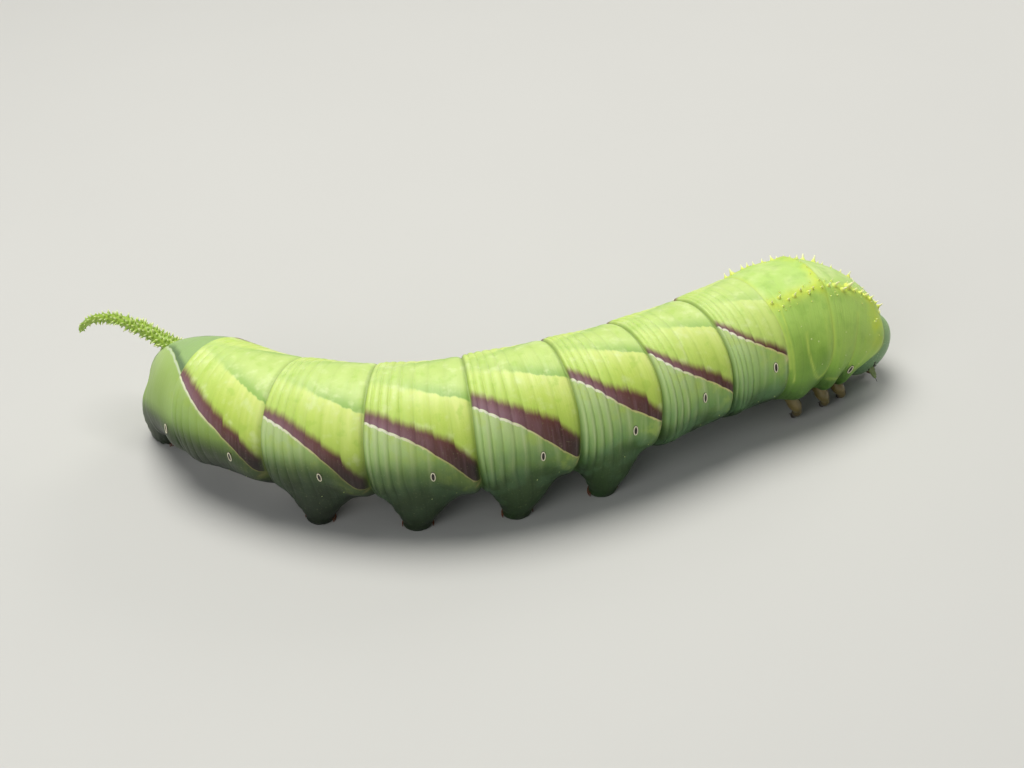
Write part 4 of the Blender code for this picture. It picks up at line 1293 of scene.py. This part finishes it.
def crochetTree(inputs, material):
    tree, sockets, start, end = newTree("crochets", inputs)
    middle = addNode(tree, "ShaderNodeCombineXYZ", {0: start.outputs["Reach"], 2: start.outputs["Length"]})
    finish = addNode(tree, "ShaderNodeCombineXYZ", {0: start.outputs["Reach"], 2: 0.00002})
    curve = addNode(tree, "GeometryNodeCurveQuadraticBezier", {
        "Resolution": 6, "Start": (0, 0, 0.00030), "Middle": middle.outputs[0], "End": finish.outputs[0]})
    factor = addNode(tree, "GeometryNodeSplineParameter")
    taper = addNode(tree, "ShaderNodeMapRange", {
        "Value": factor.outputs["Factor"], "To Min": 1.0, "To Max": 0.25})
    sized = addNode(tree, "GeometryNodeSetCurveRadius", {"Curve": curve.outputs[0], "Radius": taper.outputs[0]})
    profile = addNode(tree, "GeometryNodeCurvePrimitiveCircle", {
        "Resolution": 5, "Radius": start.outputs["Radius"]})
    hook = addNode(tree, "GeometryNodeCurveToMesh", {
        "Curve": sized.outputs[0], "Profile Curve": profile.outputs[0], "Fill Caps": True})
    turn = addNode(tree, "FunctionNodeAxesToRotation", {
        "Primary Axis": (0, 0, 1), "Secondary Axis": namedValue(tree, "outward", "FLOAT_VECTOR")},
        primary_axis="Z", secondary_axis="X")
    placed = addNode(tree, "GeometryNodeInstanceOnPoints", {
        "Points": start.outputs["Geometry"], "Instance": hook.outputs[0], "Rotation": turn.outputs[0]})
    endTree(tree, placed.outputs[0], material, end)
    return tree, sockets


def makeCrochets():
    material = patchyMaterial("crochetBrown", 0.28, 0.15, tint(74, 34, 16), tint(150, 84, 36))
    roots, ways = [], []
    feet = [(name, prolegShape, crochetShape["count"]) for name in prolegShape["segments"].values()]
    feet.append(("anal_segment", analProlegShape, crochetShape["analCount"]))
    for name, shape, count in feet:
        number = numberOf[name]
        footRun = starts[number] + shape["place"] * rowTable[number, 0]
        middle = centreAt(footRun)
        along = forwardAt(footRun) * (1, 1, 0)
        along /= np.linalg.norm(along)
        bend = math.radians(rowTable[number, 1] - rowTable[number + 1, 1]) / rowTable[number, 0]
        for sideSign in (-1, 1):
            across = np.array((along[1], -along[0], 0)) * sideSign
            _, offset, _, halfLong, halfWide = shape["rings"][1]
            squeeze = min(1 + sideSign * offset * bend, 1)
            for step in range(count):
                turn = math.radians(180 + crochetShape["arc"] * ((step + 0.5) / count - 0.5))
                way = -along * math.sin(turn) * 0.9 + across * math.cos(turn)
                reach = offset + halfWide * 0.93 * math.cos(turn)
                spot = np.array((middle[0], middle[1], 0)) + across * reach
                spot = spot - along * math.sin(turn) * halfLong * squeeze * 0.93
                roots.append(spot)
                ways.append(way / np.linalg.norm(way))
    base = buildPiece("crochetPoints", np.array(roots), [], material, recalc=False)
    setAttribute(base, "outward", ways)
    sizes = {"Length": crochetShape["length"] * mm * 2, "Reach": crochetShape["reach"] * mm,
             "Radius": crochetShape["radius"] * mm}
    tree, sockets = crochetTree(sizes, material)
    return growPiece("crochets", base, tree, sockets, sizes, material)


crochets = makeCrochets()
finishPiece(crochets, "proleg_skin")
print("crochets done:", len(crochets.data.polygons), "faces")


# Head: two cheeks parted by a cleft, the triangle of the face, the lip and the mouth parts
headShape = {
    "depth": 4.2, "halfWidth": 3.6, "rise": 3.9, "drop": 4.3, "cleft": 0.5, "lip": 0.45,
    "rings": 96, "columns": 168, "suture": 0.10, "sutureWidth": 0.030,
}


def headRelief(across, above):
    cleft = 0.5 + 0.5 * np.tanh(above / 0.25)
    out = -headShape["cleft"] * bell(across / 0.14) * cleft
    out = out - 0.16 * bell(across / 0.035) * cleft
    out = out + headShape["lip"] * bell(across / 0.34) * bell((above + 0.70) / 0.20)
    # The two slanting sutures run from the foot of the cleft to the corners of the lip.
    fall = np.clip((0.12 - above) / 0.70, 0, 1)
    sutureAt = 0.30 * fall ** 0.8
    shown = smoothStep(0.16, 0.08, above) * smoothStep(-0.66, -0.56, above)
    out = out - headShape["suture"] * bell((np.abs(across) - sutureAt) / headShape["sutureWidth"]) * shown
    inFace = smoothStep(0.02, -0.05, np.abs(across) - sutureAt) * shown
    out = out - 0.10 * inFace
    lipEdge = bell((above + 0.60) / 0.030) * smoothStep(0.40, 0.30, np.abs(across))
    out = out - 0.14 * lipEdge
    notch = bell(across / 0.05) * bell((above + 0.84) / 0.07)
    return out - 0.22 * notch, sutureAt, shown


def headPoint(depth, angle, swell=0.0, fine=True):
    forward, right, up = (way.reshape(3) for way in frameAt(np.array([0.0])))
    start = centreAt(0.0) + forward * 0.15
    full = (1 - np.clip(depth, 0, 1) ** 2.5) ** (1 / 2.2)
    turn = np.radians(angle)
    across, above = np.broadcast_arrays(np.sin(turn) * full, np.cos(turn) * full)
    relief, _, _ = headRelief(across, above)
    out = swell + relief * (1 if fine else 0)
    height = np.where(above > 0, headShape["rise"], headShape["drop"])
    wide, tall = across * (headShape["halfWidth"] + out), above * (height + out)
    spot = right * wide[..., None] + up * tall[..., None]
    ahead = np.where(depth > 0, depth * (headShape["depth"] + out), depth * headShape["depth"])
    return start + spot + forward * ahead[..., None]


def headMaterial():
    material, tree, shader = newMaterial("headGreen", 0.38, {
        "Subsurface Weight": 0.10, "Subsurface Radius": (0.6, 1.0, 0.4), "Subsurface Scale": 0.5 * mm,
        "Coat Weight": 0.12, "Coat Roughness": 0.30})
    place = objectPlace(tree)
    patches = noise(tree, place, 1.6 * mm, 4.0)
    grains = cells(tree, place, 0.30 * mm)
    # The head darkens toward the bottom: painted shade under the head.
    color = ramp(tree, valueOf(tree, "high"), (0.0, 72, 102, 60), (0.35, 100, 140, 90), (0.7, 134, 174, 112),
                 (1.0, 164, 200, 120))
    color = cover(
        tree, color, (times(tree, patches, 0.30), tint(100, 142, 98)),
        (valueOf(tree, "pale"), tint(206, 222, 160)),
        (times(tree, valueOf(tree, "line"), 0.75), tint(62, 92, 48)),
        (times(tree, span(tree, grains, 0.24, 0.10), 0.60), tint(210, 228, 172)),
        (valueOf(tree, "lipShare"), tint(140, 160, 104)))
    tree.links.new(color, shader.inputs["Base Color"])
    tree.links.new(bump(tree, grains, 0.35, -0.05), shader.inputs["Normal"])
    return material


def makeHead():
    shape = headShape
    ahead = 1 - (1 - np.linspace(0, 0.998, shape["rings"])) ** 1.7
    depths = np.concatenate([np.linspace(-0.42, -0.06, 7), ahead])
    angles = -180 + 360 * (np.arange(shape["columns"]) + 0.5) / shape["columns"]
    depth, angle = depths[:, None], angles[None, :]
    points = headPoint(depth, angle)
    back = smoothStep(-0.45, 0.0, depth)[..., None]
    forward = forwardAt(0.0)
    axis = centreAt(0.0) + forward * 0.15
    inner = axis + (points - axis) * (0.72 + 0.28 * back)
    points = np.where(depth[..., None] < 0, inner, points)
    points[..., 2] = np.maximum(points[..., 2], 0.15)
    vertices, faces = closedTube(points)
    head = buildPiece("headCapsule", vertices, faces, headMaterial())
    full = (1 - np.clip(depth, 0, 1) ** 2.5) ** (1 / 2.2)
    turn = np.radians(angle)
    across, above = np.broadcast_arrays(np.sin(turn) * full, np.cos(turn) * full)
    _, sutureAt, shown = headRelief(across, above)
    apart = np.abs(across) - sutureAt
    line = bell(apart / 0.022) * shown + bell(across / 0.03) * smoothStep(-0.1, 0.2, above)
    pale = bell((apart - 0.075) / 0.045) * smoothStep(0.75, 0.3, above) * smoothStep(-0.62, -0.5, above)
    lip = bell(across / 0.32) * smoothStep(-0.58, -0.66, above)

    def spread(values):
        whole = np.broadcast_to(values, points.shape[:2])
        return np.concatenate([whole.ravel(), [whole[0, 0], whole[-1].mean()]])

    # Height share on the head, which drives its painted shade toward the bottom.
    setAttribute(head, "high", spread(np.clip(above * 0.5 + 0.5, 0, 1)))
    setAttribute(head, "line", spread(np.clip(line, 0, 1)))
    setAttribute(head, "pale", spread(np.clip(pale, 0, 1) * 0.8))
    setAttribute(head, "lipShare", spread(lip * 0.8))
    return head


def faceSpot(depth, angle):
    # A point on the head with its outward way.
    here = headPoint(np.array(float(depth)), np.array(float(angle)), fine=False)
    ahead = headPoint(np.array(depth + 0.02), np.array(float(angle)), fine=False) - here
    around = headPoint(np.array(float(depth)), np.array(angle + 2.0), fine=False) - here
    normal = np.cross(ahead, around)
    normal /= np.linalg.norm(normal)
    if np.dot(normal, here - centreAt(0.0) - forwardAt(0.0) * 1.5) < 0:
        normal = -normal
    return here, normal


def unit(vector):
    vector = np.asarray(vector, float)
    return vector / np.linalg.norm(vector)


head = makeHead()
finishPiece(head, "head_capsule", "head")
print("head done:", len(head.data.polygons), "faces")

# Six small eyes a side, in an arc low on the cheek: depth, angle, radius.
eyeShape = {
    "places": ((0.57, 104, 0.15), (0.62, 110, 0.16), (0.68, 115, 0.16), (0.76, 118, 0.15), (0.71, 124, 0.14),
               (0.59, 122, 0.14)),
    "bulge": 0.62, "rings": 7, "sides": 20,
}


def makeEyes():
    material = patchyMaterial("eyeDark", 0.10, 0.2, tint(16, 13, 10), tint(58, 40, 24),
                              settings={"Coat Weight": 0.6})
    parts = []
    for depth, angle, radius in eyeShape["places"]:
        for sideSign in (-1, 1):
            spot, normal = faceSpot(depth, angle * sideSign)
            first = unit(np.cross(normal, (0.3, 0.2, 1)))
            second = np.cross(normal, first)
            turn = ringTurns(eyeShape["sides"])[:, None]
            loops = []
            for step in range(eyeShape["rings"]):
                lift = -0.5 + 1.48 * step / (eyeShape["rings"] - 1)
                wide = radius * math.sqrt(max(1 - max(lift, -0.2) ** 2, 0.02))
                loops.append(spot + (np.cos(turn) * first + np.sin(turn) * second) * wide
                             + normal * radius * eyeShape["bulge"] * lift)
            parts.append(closedTube(loops))
    points, faces = mergeParts(parts)
    return buildPiece("eyes", points, faces, material)


eyes = makeEyes()
finishPiece(eyes, "head_capsule")

# Feelers of three joints with a fine bristle: height and radius down the length.
feelerShape = {
    "rings": ((-0.5, 0.38), (0.0, 0.38), (0.24, 0.39), (0.34, 0.36), (0.38, 0.30), (0.42, 0.29), (0.49, 0.30),
              (0.86, 0.27), (0.92, 0.24), (0.95, 0.18), (0.97, 0.18), (1.02, 0.19), (1.13, 0.17), (1.17, 0.10)),
    "sides": 20, "bristle": 0.7,
}
jawShape = {
    "rings": ((-0.5, 0.62), (0.0, 0.64), (0.30, 0.60), (0.55, 0.52), (0.78, 0.42), (0.95, 0.30), (1.0, 0.22)),
    "sides": 36, "teeth": 5, "toothDepth": 0.13, "flatten": 0.72,
}


def shellMaterial(name, low, high, roughness, size):
    material, tree, shader = newMaterial(name, roughness, {"Coat Weight": 0.25, "Coat Roughness": 0.25})
    place = objectPlace(tree)
    color = blendColor(tree, noise(tree, place, size * mm, 4.0), low, high)
    tip = span(tree, valueOf(tree, "tip"), 0.55, 0.95)
    color = blendColor(tree, tip, color, tint(40, 24, 14))
    tree.links.new(color, shader.inputs["Base Color"])
    tree.links.new(bump(tree, noise(tree, place, size * 0.3 * mm, 3.0), 0.25, 0.05), shader.inputs["Normal"])
    return material


def makeFeeler(word, sideSign):
    forward, right, up = (way.reshape(3) for way in frameAt(np.array([0.0])))
    root = headPoint(np.array(0.66), np.array(122.0 * sideSign), fine=False)
    way = unit(root - centreAt(0.0) - forward * headShape["depth"] * 0.4)
    way = unit(way + forward * 0.9 - up * 0.5)
    heights = np.array([row[0] for row in feelerShape["rings"]])
    radii = [row[1] for row in feelerShape["rings"]]
    path = root + way * heights[:, None]
    parts = [closedTube(tubeRings(path, radii, feelerShape["sides"]))]
    bristleStart = root + way * 1.10 + unit(np.cross(way, up)) * 0.05
    bristle = smoothPath([bristleStart, bristleStart + way * 0.4 + right * sideSign * 0.04,
                          bristleStart + way * feelerShape["bristle"] * 0.7 + right * sideSign * 0.12], 8)
    parts.append(closedTube(tubeRings(bristle, np.linspace(0.035, 0.012, 8), 6)))
    points, faces = mergeParts(parts)
    piece = buildPiece(f"feeler{word.capitalize()}", points, faces, feelerMaterial)
    tips = np.concatenate([np.repeat(np.clip(heights / 1.9, 0, 1), feelerShape["sides"]), [0, 0.7]])
    setAttribute(piece, "tip", np.append(tips, np.full(len(points) - len(tips), 0.9)))
    return piece


def makeJaw(word, sideSign):
    forward, _, up = (way.reshape(3) for way in frameAt(np.array([0.0])))
    root = headPoint(np.array(0.84), np.array(165.0 * sideSign), fine=False)
    way = unit(root - centreAt(0.0) - forward * headShape["depth"] * 0.4)
    way = unit(way + forward * 1.3 + up * 0.5)
    heights = np.array([row[0] for row in jawShape["rings"]])
    radii = np.array([row[1] for row in jawShape["rings"]])
    path = root + way * heights[:, None]
    rings = tubeRings(path, radii, jawShape["sides"], jawShape["flatten"])
    turn = ringTurns(jawShape["sides"])[None, :]
    bite = smoothStep(0.5, 1.0, heights)[:, None]
    teeth = np.abs(np.sin(turn * jawShape["teeth"] / 2)) * jawShape["toothDepth"] * bite
    rings = rings + way * teeth[..., None]
    points, faces = closedTube(rings)
    points[:, 2] = np.maximum(points[:, 2], 0.02)
    piece = buildPiece(f"jaw{word.capitalize()}", points, faces, jawMaterial)
    setAttribute(piece, "tip", np.concatenate([np.repeat(np.clip(heights, 0, 1), jawShape["sides"]), [0, 1]]))
    return piece


feelerMaterial = shellMaterial("feelerTan", tint(104, 128, 74), tint(138, 150, 92), 0.42, 0.5)
jawMaterial = shellMaterial("jawBrown", tint(64, 38, 22), tint(112, 70, 38), 0.26, 0.5)
for word, sideSign in (("left", -1), ("right", 1)):
    finishPiece(makeFeeler(word, sideSign), "feeler", f"antenna_{word}")
    finishPiece(makeJaw(word, sideSign), "jaw", f"mandible_{word}")

# Palps under the mouth, two pairs of stubs: angle, depth, lean, length and radius.
palpShape = {
    "stubs": ((176, 0.60, 1.00, 0.75, 0.34), (170, 0.52, 0.60, 0.55, 0.26), (-176, 0.60, 1.00, 0.75, 0.34),
              (-170, 0.52, 0.60, 0.55, 0.26)),
    # Height and radius of a stub, as shares of its length and radius.
    "rings": ((-0.6, 1.0), (0.0, 1.05), (0.25, 1.0), (0.38, 0.86), (0.44, 0.72), (0.52, 0.74), (0.70, 0.66),
              (0.76, 0.5), (0.82, 0.48), (0.96, 0.40), (1.0, 0.22)),
    "sides": 16,
}


def makePalps():
    forward, right, up = (way.reshape(3) for way in frameAt(np.array([0.0])))
    parts, tips = [], []
    shares = np.array([row[0] for row in palpShape["rings"]])
    for angle, depth, lean, length, radius in palpShape["stubs"]:
        root = headPoint(np.array(depth), np.array(float(angle)), fine=False)
        way = unit(forward * lean - up * 0.35 + right * math.copysign(0.12, angle))
        path = root + up * 0.35 + way * (shares * length)[:, None]
        path[:, 2] = np.maximum(path[:, 2], radius * 0.8 + 0.05)
        path[:, 2] += np.arange(len(path)) * 1e-4
        rings = tubeRings(path, [row[1] * radius for row in palpShape["rings"]], palpShape["sides"])
        rings[..., 2] = np.maximum(rings[..., 2], 0.03)
        parts.append(closedTube(rings))
        tips += list(np.repeat(np.clip(shares * 0.8, 0, 1), palpShape["sides"])) + [0, 0.8]
    points, faces = mergeParts(parts)
    piece = buildPiece("palps", points, faces, feelerMaterial)
    setAttribute(piece, "tip", tips)
    return piece


finishPiece(makePalps(), "feeler")
print("face done")

# True legs: jointed, tapering, each with a dark claw
legShape = {
    "places": {1: ("thorax_1", 0.45), 2: ("thorax_2", 0.50), 3: ("thorax_3", 0.50)},
    # Share of the length and radius, swollen at each joint.
    "rings": ((-0.10, 1.02), (0.0, 1.01), (0.12, 0.98), (0.22, 0.90), (0.27, 0.78), (0.30, 0.74), (0.34, 0.80),
              (0.45, 0.76), (0.53, 0.66), (0.57, 0.56), (0.60, 0.54), (0.64, 0.58), (0.72, 0.52), (0.78, 0.43),
              (0.81, 0.37), (0.84, 0.37), (0.88, 0.35), (0.93, 0.28), (0.95, 0.20)),
    "sides": 24, "flatten": 0.9, "clawRadius": 0.14, "clawSides": 12,
}


def legPath(name, place, sideSign):
    number = numberOf[name]
    run = starts[number] + 0.15 + place * (rowTable[number, 0] - 0.3)
    relief = reliefAt(np.array(float(number)), np.array(place), np.array(0.5), np.array(145.0 * sideSign))
    root = bodyPoint(run, 145.0 * sideSign, relief)
    along = forwardAt(run) * (1, 1, 0)
    along /= np.linalg.norm(along)
    out = np.array((along[1], -along[0], 0)) * sideSign
    foot = np.array((root[0], root[1], 0.0)) + along * 0.7 - out * 0.9
    knee = root * 0.5 + foot * 0.5 + out * 0.6 + along * 0.3
    top = root + np.array((0, 0, 1.6)) - out * 0.9
    return top, root, knee, foot, along, out


def makeLeg(number, word, sideSign):
    name, place = legShape["places"][number]
    top, root, knee, foot, along, out = legPath(name, place, sideSign)
    line = smoothPath([top, root, knee, foot], 61)
    length = np.linalg.norm(np.diff(line, axis=0), axis=1)
    gone = np.concatenate([[0], np.cumsum(length)]) / length.sum()
    shares = np.array([row[0] for row in legShape["rings"]])
    shares = (shares + 0.10) / 1.05
    path = np.stack([np.interp(shares * 0.96, gone, line[:, axis]) for axis in range(3)], -1)
    radii = np.array([row[1] for row in legShape["rings"]])
    rings = tubeRings(path, radii, legShape["sides"], legShape["flatten"], along)
    rings[..., 2] = np.maximum(rings[..., 2], 0.04)
    points, faces = closedTube(rings)
    leg = buildPiece(f"leg{number}{word.capitalize()}", points, faces, legMaterial)
    setAttribute(leg, "tip", np.concatenate([np.repeat(shares, legShape["sides"]), [0, 1]]))
    tip = path[-1]
    ground = tip * (1, 1, 0)
    bent = ground - out * 0.30 + along * 0.12 + np.array((0, 0, 0.20))
    clawLine = smoothPath([tip + (tip - path[-4]) * -0.4, tip, bent, ground - out * 0.62 + (0, 0, 0.07)], 16)
    clawRadii = np.interp(np.linspace(0, 1, 16), (0, 0.3, 0.7, 1), (1.3, 1.15, 0.62, 0.16))
    clawRadii = clawRadii * legShape["clawRadius"]
    clawRings = tubeRings(clawLine, clawRadii, legShape["clawSides"], 1.0, along)
    clawRings[..., 2] = np.maximum(clawRings[..., 2], 0.0)
    return leg, closedTube(clawRings)


legMaterial = shellMaterial("legTan", tint(84, 78, 38), tint(128, 110, 58), 0.36, 0.8)
clawMaterial = shellMaterial("clawDark", tint(46, 26, 14), tint(88, 50, 26), 0.22, 0.3)
claws = []
for word, sideSign in (("left", -1), ("right", 1)):
    for number in legShape["places"]:
        leg, claw = makeLeg(number, word, sideSign)
        finishPiece(leg, "leg_shell", f"leg_{number}_{word}")
        claws.append(claw)
clawPoints, clawFaces = mergeParts(claws)
clawPiece = buildPiece("claws", clawPoints, clawFaces, clawMaterial)
setAttribute(clawPiece, "tip", np.zeros(len(clawPoints)))
finishPiece(clawPiece, "leg_shell")
print("legs done")

# Floor and light
studio = {
    "floorHalf": 900, "floorColor": tint(204, 203, 198),
    "worldColor": tint(226, 230, 234), "worldStrength": 0.26,
    # Place, aim, size in millimetres, power in watts, colour.
    "lamps": {
        "softTop": ((-60, 60, 420), (0, 0, 0), 300, 1.75, (1.0, 0.99, 0.96)),
        "softFront": ((-200, -340, 260), (0, 0, 8), 260, 0.42, (0.96, 0.98, 1.0)),
        "softRear": ((220, 260, 200), (0, 0, 8), 200, 0.30, (1.0, 0.98, 0.95)),
    },
}


def makeFloor():
    pale = studio["floorColor"]
    darker = tuple(value * 0.97 for value in pale[:3]) + (1,)
    material = patchyMaterial("paleFloor", 0.75, 30, darker, pale, 3.0)
    half = studio["floorHalf"]
    corners = [(-half, -half, 0), (half, -half, 0), (half, half, 0), (-half, half, 0)]
    floor = buildPiece("floor", np.array(corners, float), [[0, 1, 2, 3]], material, recalc=False)


def makeLamps():
    for name, (place, aim, size, power, color) in studio["lamps"].items():
        lamp = bpy.data.lights.new(name, "AREA")
        lamp.shape = "DISK"
        lamp.size = size * mm
        lamp.energy = power
        lamp.color = color
        item = bpy.data.objects.new(name, lamp)
        item.location = Vector(place) * mm
        item.rotation_euler = (Vector(aim) - Vector(place)).to_track_quat("-Z", "Y").to_euler()
        bpy.context.scene.collection.objects.link(item)
    world = bpy.context.scene.world or bpy.data.worlds.new("world")
    bpy.context.scene.world = world
    world.use_nodes = True
    background = world.node_tree.nodes["Background"]
    background.inputs["Color"].default_value = studio["worldColor"]
    background.inputs["Strength"].default_value = studio["worldStrength"]
    bpy.context.scene.view_settings.view_transform = "Standard"


makeFloor()
makeLamps()
print("studio done")
